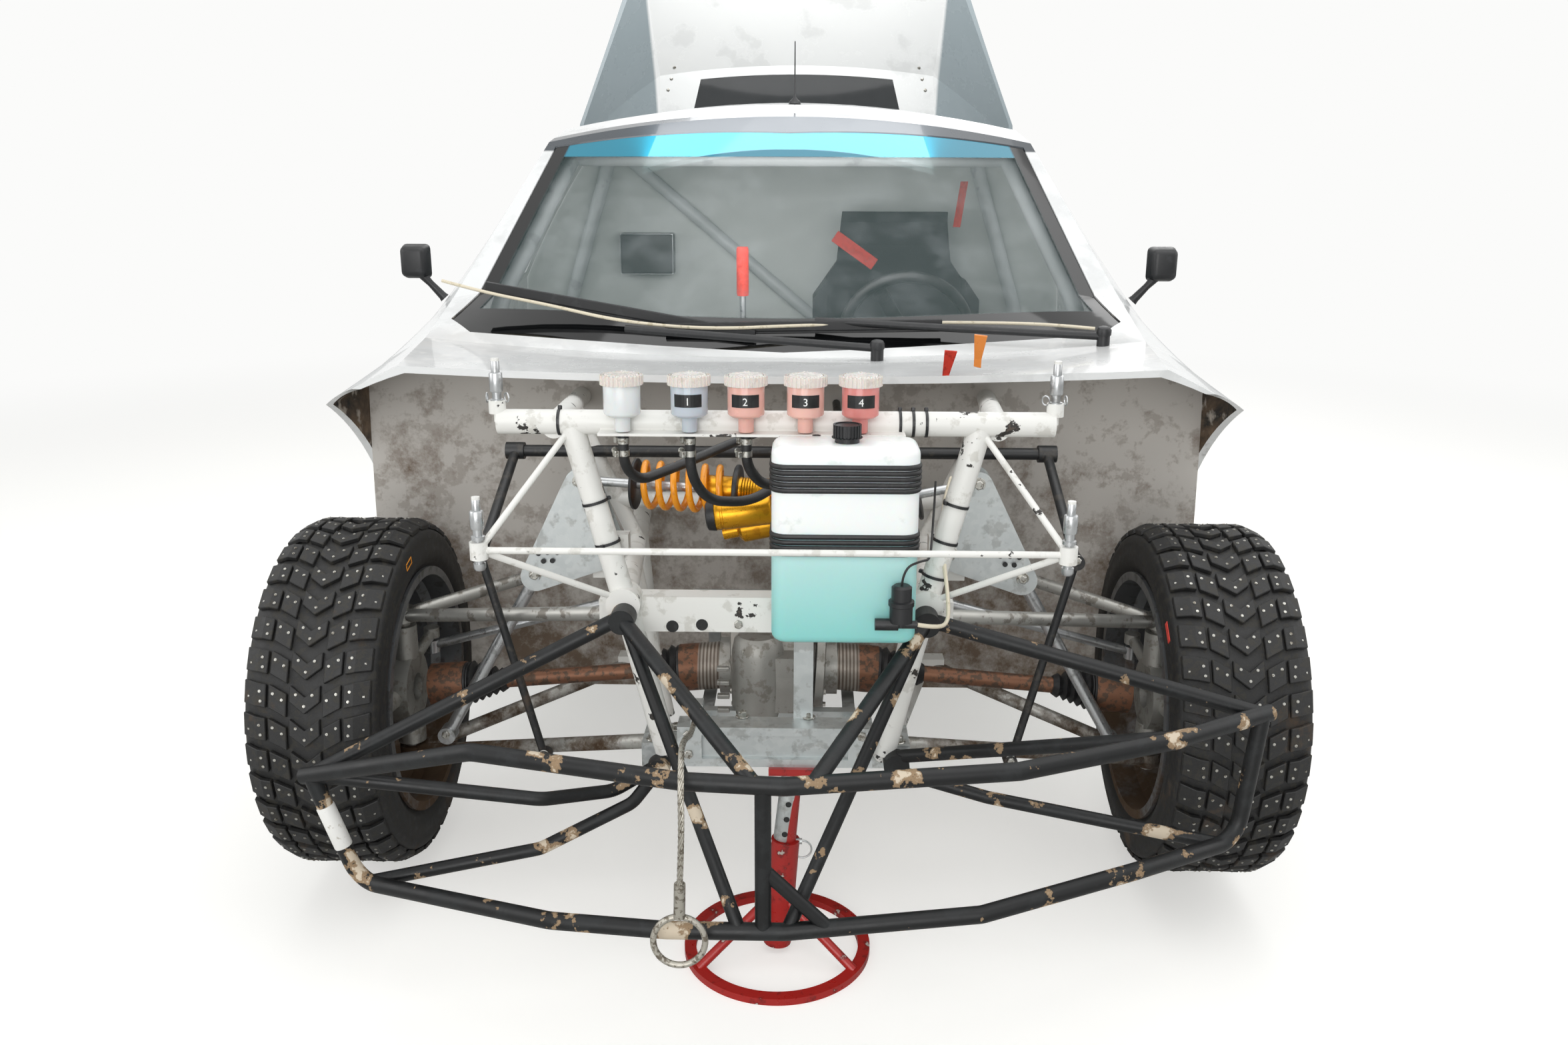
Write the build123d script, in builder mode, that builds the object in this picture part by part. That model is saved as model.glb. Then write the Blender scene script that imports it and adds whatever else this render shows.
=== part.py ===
from build123d import *
import os
from math import cos, pi, radians, sin, tan

os.makedirs("parts", exist_ok=True)

# Rally car with a tubular chassis, its nose bodywork off and its rear clam raised, on a red
# stand under the nose. Millimetres. +Z is up, the nose points to -Y and +X is the driver's side.
# Lengths along the car are stations, measured back from the front axle.

# Placing of the whole car
FRONT_AXLE_Y = -1443.455    # where station 0 lies, so that the origin is below the middle
WHEELBASE = 2500.0
TRACK_HALF = 768.0          # half the distance between the wheels' middles
HANG = 40.0                 # how far the stand holds the front tyres off the floor

# Tyres and rims
TYRE_RADIUS = 320.0
TYRE_WIDTH = 224.0
DISC_RADIUS = 155.0
HUB_RADIUS = 62.0
AXLE_BORE = 26.0            # radius of the wheel bearings' bore
SPOKES = 9

FRONT_WHEEL_Z = TYRE_RADIUS + HANG
REAR_WHEEL_Z = TYRE_RADIUS

# Steering
KINGPIN_X = 700.0
STEER_ARM = 130.0           # tie-rod eye behind the kingpin
STEER_LOCK = 28.0           # degrees each way
RACK_STATION = 130.0
RACK_Z = 492.0
TIE_EYE_Z = 393.0
RACK_TUBE = 22.0
RACK_BAR = 12.0

# Tubes
CAGE_TUBE = 20.0            # radii
RAIL_TUBE = 19.0
NOSE_TUBE = 13.0
NOSE_BRACE = 10.0
ARM_TUBE = 13.0
THIN_ROD = 5.0
CAGE_BEND = 80.0            # bend radii of the tubes' middle lines
NOSE_BEND = 45.0
PIPE_BEND = 70.0

# Body shell
SKIN = 14.0
SHUT_GAP = 8.0
GLASS = 5.0
GLASS_INSET = 3.0
SEAL = 0.4
DOOR_FRONT = 622.0
DOOR_REAR = 1722.0
DOOR_LOW = 330.0
CLAM_FRONT = 1800.0         # the clam's front edge on the roof
CLAM_SIDE = 2150.0          # its flanks' front edge at the hinge's height
TAIL = 3130.0

# Rear clam hinge and how far the clam is tipped back
CLAM_HINGE_STATION = 3085.0
CLAM_HINGE_Z = 560.0
CLAM_TIP = 45.0
HINGE_PIN = 7.0
PIN_PLAY = 0.4

# Doors
DOOR_HINGE_X = 859.0
DOOR_HINGE_STATION = 606.0
DOOR_HINGE_HEIGHTS = (500.0, 850.0)
DOOR_PIN = 5.0
HINGE_EYE = 10.0
EYE_HALF = 16.0             # half the height of the door's eye
LUG_GAP = 1.0

# Cabin
FLOOR_Z = 215.0
FLOOR_THICK = 12.0
FIREWALL_STATION = 395.0
PANEL = 8.0

# Stand
STAND_STATION = -300.0


def at(x, station, height):
    """A point of the car, given by its station."""
    return Vector(x, FRONT_AXLE_Y + station, height)


def section(station):
    """The plane across the car at a station: local x is +X, local y is +Z."""
    return Plane(origin=at(0, station, 0), x_dir=(1, 0, 0), z_dir=(0, -1, 0))


def side(x):
    """The plane along the car at x: local x is the station, local y is +Z."""
    return Plane(origin=at(x, 0, 0), x_dir=(0, 1, 0), z_dir=(1, 0, 0))


def level(height):
    """The level plane at a height: local x is +X, local y is the station."""
    return Plane(origin=at(0, 0, height), x_dir=(1, 0, 0), z_dir=(0, 0, 1))


def rod(start, end, radius, mode=Mode.ADD):
    """A round bar between two points."""
    first, last = at(*start), at(*end)
    with Locations(Plane(origin=first, z_dir=last - first)):
        Cylinder(radius, (last - first).length, align=(Align.CENTER, Align.CENTER, Align.MIN), mode=mode)


def boss(centre, radius, half, mode=Mode.ADD):
    """A short round bar along the car, centred on a point."""
    x, station, height = centre
    rod((x, station - half, height), (x, station + half, height), radius, mode)


def bent_tube(points, radius, bends):
    """A round tube along straight runs joined by tangent arcs, bends being one radius or a list."""
    with BuildPart() as tube:
        with BuildLine() as route:
            FilletPolyline(*[at(*point) for point in points], radius=bends)
        with BuildSketch(Plane(origin=route.line @ 0, z_dir=route.line % 0)):
            Circle(radius)
        sweep(path=route.line)
    return tube.part


def bend_radii(points):
    """For each inner point, 0.45 of its shorter run over the tangent of half the turn."""
    radii = []
    for before, here, after in zip(points, points[1:], points[2:]):
        first, second = at(*here) - at(*before), at(*after) - at(*here)
        turn = radians(first.get_angle(second))
        radii.append(0.45 * min(first.length, second.length) / tan(turn / 2))
    return radii


def block(low, high, mode=Mode.ADD):
    """A box between two corners."""
    first, last = at(*low), at(*high)
    size = last - first
    with Locations((first + last) / 2):
        Box(abs(size.X), abs(size.Y), abs(size.Z), mode=mode)


def both(point, hand):
    """A point of the driver's side, or its mirror image when hand is -1."""
    return (hand * point[0], point[1], point[2])


def along(start, end, share):
    """A point between two others."""
    return tuple(a + (b - a) * share for a, b in zip(start, end))


# Body form
# One row per cross-section, from the cowl's cut edge to the tail. Heights and half-widths of
# the crown, the roof rail, the belt and the sill, then the lower edge.
#  station crown  rail_x rail_z  belt_x belt_z  sill_x sill_z
BODY = [
    (118, 934, 712, 950, 930, 828, 928, 520),
    (400, 930, 742, 968, 876, 880, 878, 420),
    (622, 1098, 742, 1030, 832, 930, 838, 300),
    (1060, 1438, 600, 1376, 832, 962, 846, 262),
    (1200, 1474, 584, 1412, 832, 972, 848, 262),
    (1560, 1500, 586, 1434, 832, 990, 848, 262),
    (1800, 1497, 584, 1430, 832, 1002, 850, 262),
    (2300, 1458, 566, 1396, 832, 1032, 900, 270),
    (2640, 1262, 596, 1222, 826, 1040, 908, 330),
    (2900, 1086, 640, 1062, 806, 1000, 868, 450),
    (3090, 1030, 660, 1006, 770, 930, 800, 520),
    (3130, 990, 650, 966, 740, 890, 770, 522),
]


def body_form(inset, low):
    """The solid inside the outer skin, moved in by inset, with its lower edge at low or above."""
    rows = [list(row) for row in BODY]
    if inset:
        rows[0][0] -= 10
        rows[-1][0] -= inset
    with BuildPart() as form:
        for station, crown, rail_x, rail_z, belt_x, belt_z, sill_x, sill_z in rows:
            foot = low if inset else sill_z
            with BuildSketch(section(station)):
                with BuildLine():
                    foot_right = (sill_x - inset, foot)
                    belt_right = (belt_x - inset, belt_z)
                    rail_right = (rail_x - inset, rail_z - inset)
                    bulge = ((sill_x + belt_x) / 2 + 8 - inset, (sill_z + belt_z) / 2)
                    lean = ((rail_x + belt_x) / 2 + 10 - inset, (rail_z + belt_z) / 2)
                    if inset:
                        bulge = (bulge[0], (foot + belt_z) / 2)
                    ThreePointArc(foot_right, bulge, belt_right)
                    ThreePointArc(belt_right, lean, rail_right)
                    ThreePointArc(rail_right, (0, crown - inset), (-rail_right[0], rail_right[1]))
                    ThreePointArc((-rail_right[0], rail_right[1]), (-lean[0], lean[1]),
                                  (-belt_right[0], belt_z))
                    ThreePointArc((-belt_right[0], belt_z), (-bulge[0], bulge[1]), (-foot_right[0], foot))
                    Line((-foot_right[0], foot), foot_right)
                make_face()
        loft(ruled=True)
    return form.part


outer_form = body_form(0, 0)
inner_form = body_form(SKIN, 100)

# Outlines in side view, each from low front, as (station, height)
DOOR_OUTLINE = [(DOOR_FRONT, DOOR_LOW), (DOOR_FRONT, 950), (1118, 1352), (DOOR_REAR, 1392),
                (DOOR_REAR, 420), (1640, DOOR_LOW)]
DOOR_WINDOW = [(760, 1000), (1118, 1305), (1650, 1345), (1650, 1015)]
FLANK_EDGE = [(CLAM_FRONT + SHUT_GAP + 2, 1400), (2262, 1000)]     # where the clam's flanks slope back
FLANK_LOW = 620.0
WINDSCREEN_OUTLINE = [(-715, 500), (-660, 440), (0, 412), (660, 440), (715, 500), (580, 1040), (0, 1010),
                      (-580, 1040)]
REAR_WINDOW_OUTLINE = [(-390, 2330), (390, 2330), (540, 2800), (-540, 2800)]


def prism(plane, points, near, far, margin=0.0):
    """A straight prism on an outline grown by margin, from near to far along the plane's normal."""
    with BuildPart() as solid:
        with BuildSketch(plane.offset(near)):
            with BuildLine():
                Polyline(*points, close=True)
            make_face()
            if margin:
                offset(amount=margin, kind=Kind.INTERSECTION)
        extrude(amount=far - near)
    return solid.part


with BuildPart() as skin_block:
    add(outer_form)
    add(inner_form, mode=Mode.SUBTRACT)

glass_outer = body_form(GLASS_INSET, 100)
glass_inner = body_form(GLASS_INSET + GLASS, 90)
with BuildPart() as glass_block:
    add(glass_outer)
    add(glass_inner, mode=Mode.SUBTRACT)

ARCH_RADIUS_FRONT = 500.0
ARCH_Z_FRONT = 420.0
ARCH_RADIUS_REAR = 392.0
ARCH_Z_REAR = 350.0

door_hole = prism(side(0), DOOR_OUTLINE, -1000, 1000)
DOOR_SHAPE = [(630, 338), (630, 946), (1121, 1343), (1710, 1382), (1710, 424), (1636, 338)]
door_prism = prism(side(0), DOOR_SHAPE, -1000, 1000)

# Fixed flanks between the doors and the rear wheels
with BuildPart() as flanks:
    with BuildSketch(side(-1000)):
        with BuildLine():
            Polyline((CLAM_FRONT - 10, FLANK_LOW - SHUT_GAP), (CLAM_FRONT - 10, FLANK_EDGE[0][1] - SHUT_GAP),
                     *[(station - SHUT_GAP, height - SHUT_GAP) for station, height in FLANK_EDGE],
                     (FLANK_EDGE[1][0] - SHUT_GAP, FLANK_LOW - SHUT_GAP), close=True)
        make_face()
        with Locations((CLAM_HINGE_STATION, CLAM_HINGE_Z)):
            Circle(CLAM_HINGE_STATION - CLAM_SIDE + SHUT_GAP, mode=Mode.SUBTRACT)
        with Locations((CLAM_FRONT - 10, FLANK_LOW - SHUT_GAP)):
            Rectangle(500, 500, align=(Align.MIN, Align.MAX))
        with Locations((WHEELBASE, ARCH_Z_REAR)):
            Circle(ARCH_RADIUS_REAR, mode=Mode.SUBTRACT)
    extrude(amount=2000)
    add(skin_block.part, mode=Mode.INTERSECT)

# Body shell: roof, pillars, cowl, sills and the stubs of the front wings
with BuildPart() as body_shell:
    add(skin_block.part)
    block((-1000, CLAM_FRONT, CLAM_HINGE_Z), (1000, 4000, 2000), mode=Mode.SUBTRACT)
    with BuildSketch(side(-1000)):
        with Locations((CLAM_HINGE_STATION, CLAM_HINGE_Z)):
            Circle(CLAM_HINGE_STATION - CLAM_FRONT)
    extrude(amount=2000, mode=Mode.SUBTRACT)
    block((-1000, 2400, 0), (1000, 4000, 2000), mode=Mode.SUBTRACT)
    add(flanks.part)
    add(door_hole, mode=Mode.SUBTRACT)
    add(prism(level(0), WINDSCREEN_OUTLINE, 880, 1600), mode=Mode.SUBTRACT)
    with BuildSketch(side(-1000)):
        with Locations((0, ARCH_Z_FRONT)):
            Circle(ARCH_RADIUS_FRONT)
    extrude(amount=2000, mode=Mode.SUBTRACT)
    for hand in (1, -1):
        for height in DOOR_HINGE_HEIGHTS:
            for low in (height - EYE_HALF - LUG_GAP - 8, height + EYE_HALF + LUG_GAP):
                block((hand * 832, DOOR_HINGE_STATION - HINGE_EYE, low),
                      (hand * DOOR_HINGE_X, DOOR_HINGE_STATION + HINGE_EYE, low + 8))
                rod((hand * DOOR_HINGE_X, DOOR_HINGE_STATION, low),
                    (hand * DOOR_HINGE_X, DOOR_HINGE_STATION, low + 8), HINGE_EYE)
            rod((hand * DOOR_HINGE_X, DOOR_HINGE_STATION, height - EYE_HALF - 12),
                (hand * DOOR_HINGE_X, DOOR_HINGE_STATION, height + EYE_HALF + 12), DOOR_PIN)
body_shell.part.label = "body_shell"
export_step(body_shell.part, "parts/body_shell.step")

with BuildPart() as windscreen:
    add(glass_block.part)
    add(prism(level(0), WINDSCREEN_OUTLINE, 880, 1600, -SEAL), mode=Mode.INTERSECT)
windscreen.part.label = "windscreen"
export_step(windscreen.part, "parts/windscreen.step")

# Doors
for name, hand in (("left", 1), ("right", -1)):
    with BuildPart() as door:
        add(skin_block.part)
        add(door_prism, mode=Mode.INTERSECT)
        block((-hand * 1000, 0, 0), (0, 4000, 2000), mode=Mode.SUBTRACT)
        add(prism(side(0), DOOR_WINDOW, -1000, 1000), mode=Mode.SUBTRACT)
        for height in DOOR_HINGE_HEIGHTS:
            block((hand * 851, DOOR_HINGE_STATION, height - EYE_HALF),
                  (hand * DOOR_HINGE_X, 690, height + EYE_HALF))
            block((hand * 824, 660, height - EYE_HALF), (hand * 852, 690, height + EYE_HALF))
            rod((hand * DOOR_HINGE_X, DOOR_HINGE_STATION, height - EYE_HALF),
                (hand * DOOR_HINGE_X, DOOR_HINGE_STATION, height + EYE_HALF), HINGE_EYE)
            rod((hand * DOOR_HINGE_X, DOOR_HINGE_STATION, height - EYE_HALF - 9),
                (hand * DOOR_HINGE_X, DOOR_HINGE_STATION,
                 height + EYE_HALF + 9), DOOR_PIN + PIN_PLAY, mode=Mode.SUBTRACT)
    door.part.label = "door_" + name
    export_step(door.part, "parts/door_" + name + ".step")
    with BuildPart() as door_glass:
        add(glass_block.part)
        add(prism(side(0), DOOR_WINDOW, -1000, 1000, -SEAL), mode=Mode.INTERSECT)
        block((-hand * 1000, 0, 0), (0, 4000, 2000), mode=Mode.SUBTRACT)
    door_glass.part.label = "door_glass_" + name
    export_step(door_glass.part, "parts/door_glass_" + name + ".step")

# Rear clam, built closed and then tipped back about its hinge
clam_axis = Axis(at(0, CLAM_HINGE_STATION, CLAM_HINGE_Z), (1, 0, 0))
with BuildPart() as clam_closed:
    add(skin_block.part)
    block((-1000, 0, 0), (1000, CLAM_FRONT + SHUT_GAP, 2000), mode=Mode.SUBTRACT)
    with BuildSketch(side(-1000)):
        with Locations((1600, CLAM_HINGE_Z)):
            Rectangle(700, 1200, align=(Align.MIN, Align.MAX))
        with Locations((CLAM_HINGE_STATION, CLAM_HINGE_Z)):
            Circle(CLAM_HINGE_STATION - CLAM_FRONT - SHUT_GAP, mode=Mode.SUBTRACT)
    extrude(amount=2000, mode=Mode.SUBTRACT)
    add(prism(level(0), REAR_WINDOW_OUTLINE, 1080, 1700), mode=Mode.SUBTRACT)
    with BuildSketch(side(-1000)):
        with BuildLine():
            Polyline((1700, 150), (1700, FLANK_EDGE[0][1]), *FLANK_EDGE, (FLANK_EDGE[1][0], 150), close=True)
        make_face()
        with Locations((CLAM_HINGE_STATION, CLAM_HINGE_Z)):
            Circle(CLAM_HINGE_STATION - CLAM_SIDE, mode=Mode.SUBTRACT)
        with Locations((1700, FLANK_LOW)):
            Rectangle(WHEELBASE - 1700, 470, align=(Align.MIN, Align.MAX))
        with Locations((WHEELBASE, ARCH_Z_REAR)):
            Circle(ARCH_RADIUS_REAR)
    extrude(amount=2000, mode=Mode.SUBTRACT)
    for hand in (1, -1):
        block((hand * 413, CLAM_HINGE_STATION, CLAM_HINGE_Z - 12),
              (hand * 441, TAIL - SKIN + 2, CLAM_HINGE_Z + 12))
        rod((hand * 413, CLAM_HINGE_STATION, CLAM_HINGE_Z), (hand * 441, CLAM_HINGE_STATION, CLAM_HINGE_Z),
            13)
        rod((hand * 400, CLAM_HINGE_STATION, CLAM_HINGE_Z), (hand * 454, CLAM_HINGE_STATION, CLAM_HINGE_Z),
            HINGE_PIN + PIN_PLAY, mode=Mode.SUBTRACT)
with BuildPart() as rear_clam:
    add(clam_closed.part.rotate(clam_axis, -CLAM_TIP))
rear_clam.part.label = "rear_clam"
export_step(rear_clam.part, "parts/rear_clam.step")
with BuildPart() as rear_pane:
    add(glass_block.part)
    add(prism(level(0), REAR_WINDOW_OUTLINE, 1080, 1700, -SEAL), mode=Mode.INTERSECT)
with BuildPart() as clam_glass:
    add(rear_pane.part.rotate(clam_axis, -CLAM_TIP))
clam_glass.part.label = "clam_glass"
export_step(clam_glass.part, "parts/clam_glass.step")

# Chassis
HOOP_STATION = 1700.0
HOOP_TOP = (535, HOOP_STATION, 1390)
HOOP_KNEE = (690, HOOP_STATION, 900)
HOOP_FOOT = (620, HOOP_STATION, FLOOR_Z + CAGE_TUBE)
PILLAR_FOOT = (640, 600, FLOOR_Z + CAGE_TUBE)
PILLAR_KNEE = (690, 650, 895)
PILLAR_SHOULDER = (655, 735, 1030)
HEADER = (548, 1095, 1338)
ROOF_RAIL = (535, 1200, 1368)
RAIL_END = (527, HOOP_STATION, 1379)
BULKHEAD_FRONT = HOOP_STATION + CAGE_TUBE + SEAL

with BuildPart() as floor_tub:
    block((-900, FIREWALL_STATION, FLOOR_Z - FLOOR_THICK), (900, BULKHEAD_FRONT + PANEL, FLOOR_Z))
    for hand in (1, -1):
        block((hand * 800, FIREWALL_STATION, FLOOR_Z - FLOOR_THICK),
              (hand * 900, BULKHEAD_FRONT + PANEL, 312))
    add(inner_form, mode=Mode.INTERSECT)
floor_tub.part.label = "floor_tub"
export_step(floor_tub.part, "parts/floor_tub.step")

FLOOR_TUBE_Z = FLOOR_Z + CAGE_TUBE
CAGE_BARS = [
    # start, end, radius
    ((-548, 1095, 1338), (548, 1095, 1338), CAGE_TUBE - 1),
    ((-685, 640, 830), (685, 640, 830), CAGE_TUBE - 1),
    ((-622, 446, FLOOR_TUBE_Z), (622, 446, FLOOR_TUBE_Z), CAGE_TUBE - 0.5),
    ((-605, 1350, FLOOR_TUBE_Z), (605, 1350, FLOOR_TUBE_Z), CAGE_TUBE - 1),
    ((-620, HOOP_STATION, FLOOR_TUBE_Z), (620, HOOP_STATION, FLOOR_TUBE_Z), CAGE_TUBE - 1),
    ((535, 1200, 1366), (-520, HOOP_STATION, 1387), CAGE_TUBE - 2),
    ((-535, 1216, 1367), (515, HOOP_STATION, 1389), CAGE_TUBE - 3),
    ((-527, HOOP_STATION, 1378), (640, HOOP_STATION, 400), CAGE_TUBE - 2),
]
with BuildPart() as roll_cage:
    hoop = [HOOP_FOOT, HOOP_KNEE, HOOP_TOP]
    add(bent_tube(hoop + [both(point, -1) for point in reversed(hoop)], CAGE_TUBE, CAGE_BEND))
    for hand in (1, -1):
        pillar = [PILLAR_FOOT, PILLAR_KNEE, PILLAR_SHOULDER, HEADER, ROOF_RAIL, RAIL_END]
        add(bent_tube([both(point, hand) for point in pillar], CAGE_TUBE - 0.5, CAGE_BEND))
        rod(both((655, 620, 340), hand), both((690, HOOP_STATION, 720), hand), CAGE_TUBE - 1)
        rod(both((640, HOOP_STATION, 340), hand), both((685, 640, 720), hand), CAGE_TUBE - 2)
        rod(both((605, 430, FLOOR_TUBE_Z), hand), both((605, HOOP_STATION, FLOOR_TUBE_Z), hand),
            CAGE_TUBE - 1.5)
    for start, end, radius in CAGE_BARS:
        rod(start, end, radius)
roll_cage.part.label = "roll_cage"
export_step(roll_cage.part, "parts/roll_cage.step")

# Bulkheads in front of and behind the cabin
with BuildPart() as bulkheads:
    block((-900, FIREWALL_STATION - PANEL, FLOOR_Z - FLOOR_THICK), (900, FIREWALL_STATION, 915))
    block((-900, BULKHEAD_FRONT, FLOOR_Z), (900, BULKHEAD_FRONT + PANEL, 1480))
    add(inner_form, mode=Mode.INTERSECT)
    add(floor_tub.part, mode=Mode.SUBTRACT)
bulkheads.part.label = "bulkheads"
export_step(bulkheads.part, "parts/bulkheads.step")

# Nose frame that carries the bonnet pins, with the rails behind it
FRAME_STATION = -290.0
LEG_TOP = (312, FRAME_STATION, 918)
LEG_FOOT = (238, FRAME_STATION - 12, 640)
UPPER_PIN = (425, FRAME_STATION, 925)
LOWER_PIN = (425, -445, 765)
SUBFRAME_NODE = (180, -280, 372)
RAIL_REAR = FIREWALL_STATION - PANEL

with BuildPart() as front_frame:
    rod((-425, FRAME_STATION, 925), (425, FRAME_STATION, 925), RAIL_TUBE)
    for hand in (1, -1):
        rod(both(LEG_TOP, hand), both(LEG_FOOT, hand), RAIL_TUBE)
        rod(both((340, FRAME_STATION, 918), hand), both((420, RAIL_REAR, 850), hand), RAIL_TUBE)
        rod(both(LEG_FOOT, hand), both((300, RAIL_REAR, 600), hand), RAIL_TUBE)
        rod(both(LEG_FOOT, hand), both(SUBFRAME_NODE, hand), RAIL_TUBE)
        rod(both(SUBFRAME_NODE, hand), both((300, RAIL_REAR, 240), hand), RAIL_TUBE)
        rod(both((272, 110, 616), hand), both((386, 110, 880), hand), RAIL_TUBE - 4)
        rod(both((205, -60, 335), hand), both((258, -60, 628), hand), RAIL_TUBE - 4)
        rod(both((255, 200, 288), hand), both((280, 200, 610), hand), RAIL_TUBE - 4)
        rod(both(UPPER_PIN, hand), both((425, FRAME_STATION, 1022), hand), 6)
        rod(both((425, FRAME_STATION, 938), hand), both((425, FRAME_STATION, 958), hand), 13)
        rod(both((425, -445, 735), hand), both((425, -445, 845), hand), 6)
        rod(both((425, -445, 752), hand), both((425, -445, 778), hand), 13)
        rod(both(LOWER_PIN, hand), both(LEG_FOOT, hand), THIN_ROD)
        rod(both(LOWER_PIN, hand), both(LEG_TOP, hand), THIN_ROD)
        boss(both(LEG_FOOT, hand), 27, 22)
        block((hand * 245, 180, 318), (hand * 330, 215, 352))
        block((hand * 245, -240, 572), (hand * 290, -205, 620))
        block((hand * 270, 185, 530), (hand * 420, 215, 568))
        block((hand * 265, -64, 600), (hand * 330, -36, 680))
    rod(both(LOWER_PIN, 1), both(LOWER_PIN, -1), THIN_ROD)
    block((-225, -300, 588), (225, -262, 646))
    rod((-308, 110, 700), (308, 110, 700), RAIL_TUBE - 4)
    block((70, -290, 640), (86, -272, 770))
    block((70, -290, 754), (86, -100, 770))
    block((-266, -335, 912), (196, -304, 916))
    block((-266, -308, 912), (196, -304, 930))
    block((-900, RAIL_REAR, 0), (900, RAIL_REAR + 60, 1000), mode=Mode.SUBTRACT)
front_frame.part.label = "front_frame"
export_step(front_frame.part, "parts/front_frame.step")

# Black bumper frame, its left side bent down and back
UPPER_BAR = [(-712, -432, 397), (-427, -550, 497), (-118, -622, 492), (20, -630, 490), (345, -595, 499),
             (575, -530, 517), (733, -432, 514)]
LOWER_BAR = [(-652, -432, 213), (-316, -598, 257), (-145, -625, 262), (23, -630, 265), (300, -612, 285),
             (525, -560, 325), (708, -446, 312)]
STUB = 1.05                 # how far the upper bar runs past its end struts, as a share of its last run
with BuildPart() as bumper_frame:
    left_stub, right_stub = along(UPPER_BAR[1], UPPER_BAR[0], STUB), along(UPPER_BAR[-2], UPPER_BAR[-1],
                                                                           STUB + 0.04)
    add(bent_tube([left_stub] + UPPER_BAR[1:-1] + [right_stub], NOSE_TUBE, NOSE_BEND))
    add(bent_tube([UPPER_BAR[0]] + LOWER_BAR + [UPPER_BAR[-1]], NOSE_TUBE - 0.5, NOSE_BEND))
    for hand, tip in ((-1, UPPER_BAR[0]), (1, UPPER_BAR[-1])):
        rod(both((238, -345, 628), hand), tip, NOSE_TUBE - 1)
        rod(both((235, -345, 622), hand), (20 + hand * 40, -628, 491), NOSE_TUBE - 1)
        rod(both((231, -345, 618), hand), (-8 + hand * 34, -628, 266), NOSE_BRACE)
        boss(both((236, -342, 624), hand), NOSE_TUBE + 7, 18)
    rod((-8, -628, 488), (-8, -628, 265), NOSE_TUBE - 1.5)
    rod((-8, -625, 360), (88, -627, 266), NOSE_BRACE)
    add(bent_tube([UPPER_BAR[0], (-362, -410, 348), (-262, -330, 322), (-192, -300, 354)], NOSE_TUBE - 2,
                  NOSE_BEND))
    add(bent_tube([(-640, -438, 215), (-370, -400, 256), (-230, -340, 306), (-192, -300, 344)],
                  NOSE_TUBE - 2.5, NOSE_BEND))
    rod((600, -518, 517), (203, -302, 375), NOSE_TUBE - 2)
    add(bent_tube([(690, -456, 309), (345, -330, 318), (192, -300, 350)], NOSE_TUBE - 2.5, NOSE_BEND))
    boss((-191, -303, 350), NOSE_TUBE + 6, 13)
    boss((199, -303, 362), NOSE_TUBE + 8, 13)
    add(front_frame.part, mode=Mode.SUBTRACT)
bumper_frame.part.label = "bumper_frame"
export_step(bumper_frame.part, "parts/bumper_frame.step")

# Galvanised subframe with the steering rack's housing
with BuildPart() as front_subframe:
    block((-160, -300, 352), (160, -256, 422))
    block((-120, -310, 366), (120, -290, 408), mode=Mode.SUBTRACT)
    block((30, -262, 421), (62, -254, 588))
    block((-138, -292, 421), (-118, -264, 458))
    for hand in (1, -1):
        block((hand * 150, -256, 330), (hand * 225, -175, 372))
        block((hand * 118, -256, 346), (hand * 140, 150, 358))
    block((-140, -110, 346), (140, -90, 366.3))
    block((-140, 96, 346), (140, 112, 372.3))
    rod((-170, RACK_STATION, RACK_Z), (170, RACK_STATION, RACK_Z), RACK_TUBE)
    for hand in (1, -1):
        block((hand * 118, RACK_STATION - 12, 346), (hand * 140, RACK_STATION + 20, RACK_Z))
    rod((-200, RACK_STATION, RACK_Z), (200, RACK_STATION, RACK_Z), RACK_BAR + PIN_PLAY, mode=Mode.SUBTRACT)
    add(front_frame.part, mode=Mode.SUBTRACT)
    add(bumper_frame.part, mode=Mode.SUBTRACT)
front_subframe.part.label = "front_subframe"
export_step(front_subframe.part, "parts/front_subframe.step")

# Front differential
with BuildPart() as front_diff:
    rod((-62, 0, 418), (62, 0, 418), 92)
    block((-52, -118, 366), (52, 60, 470))
    rod((-108, 0, 410), (-62, 0, 410), 52)
    rod((62, 0, 410), (108, 0, 410), 52)
    rod((0, 60, 418), (0, 150, 418), 46)
    rod((0, 150, 418), (0, RAIL_REAR, 418), 26)
    add(front_subframe.part, mode=Mode.SUBTRACT)
front_diff.part.label = "front_diff"
export_step(front_diff.part, "parts/front_diff.step")

# Front suspension, hanging at full droop
UPPER_ARM = ARM_TUBE - 1
BALL_PIN = 13.0
with BuildPart() as front_wishbones:
    for hand in (1, -1):
        rod(both((688, -8, 505), hand), both((268, -222, 590), hand), UPPER_ARM)
        rod(both((688, 8, 505), hand), both((400, 200, 549), hand), UPPER_ARM)
        rod(both((688, -8, 231), hand), both((200, -202, 351), hand), ARM_TUBE)
        rod(both((688, 8, 231), hand), both((300, 197, 335), hand), ARM_TUBE)
        rod(both((KINGPIN_X, 0, 493), hand), both((KINGPIN_X, 0, 517), hand), BALL_PIN + 11)
        rod(both((KINGPIN_X, 0, 217), hand), both((KINGPIN_X, 0, 243), hand), BALL_PIN + 11)
        rod(both((KINGPIN_X, 0, 200), hand), both((KINGPIN_X, 0, 540), hand), BALL_PIN + PIN_PLAY,
            mode=Mode.SUBTRACT)
        rod(both((410, -106, 299), hand), both((410, -150, 302), hand), 6)
    add(front_subframe.part, mode=Mode.SUBTRACT)
    add(front_frame.part, mode=Mode.SUBTRACT)

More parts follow.
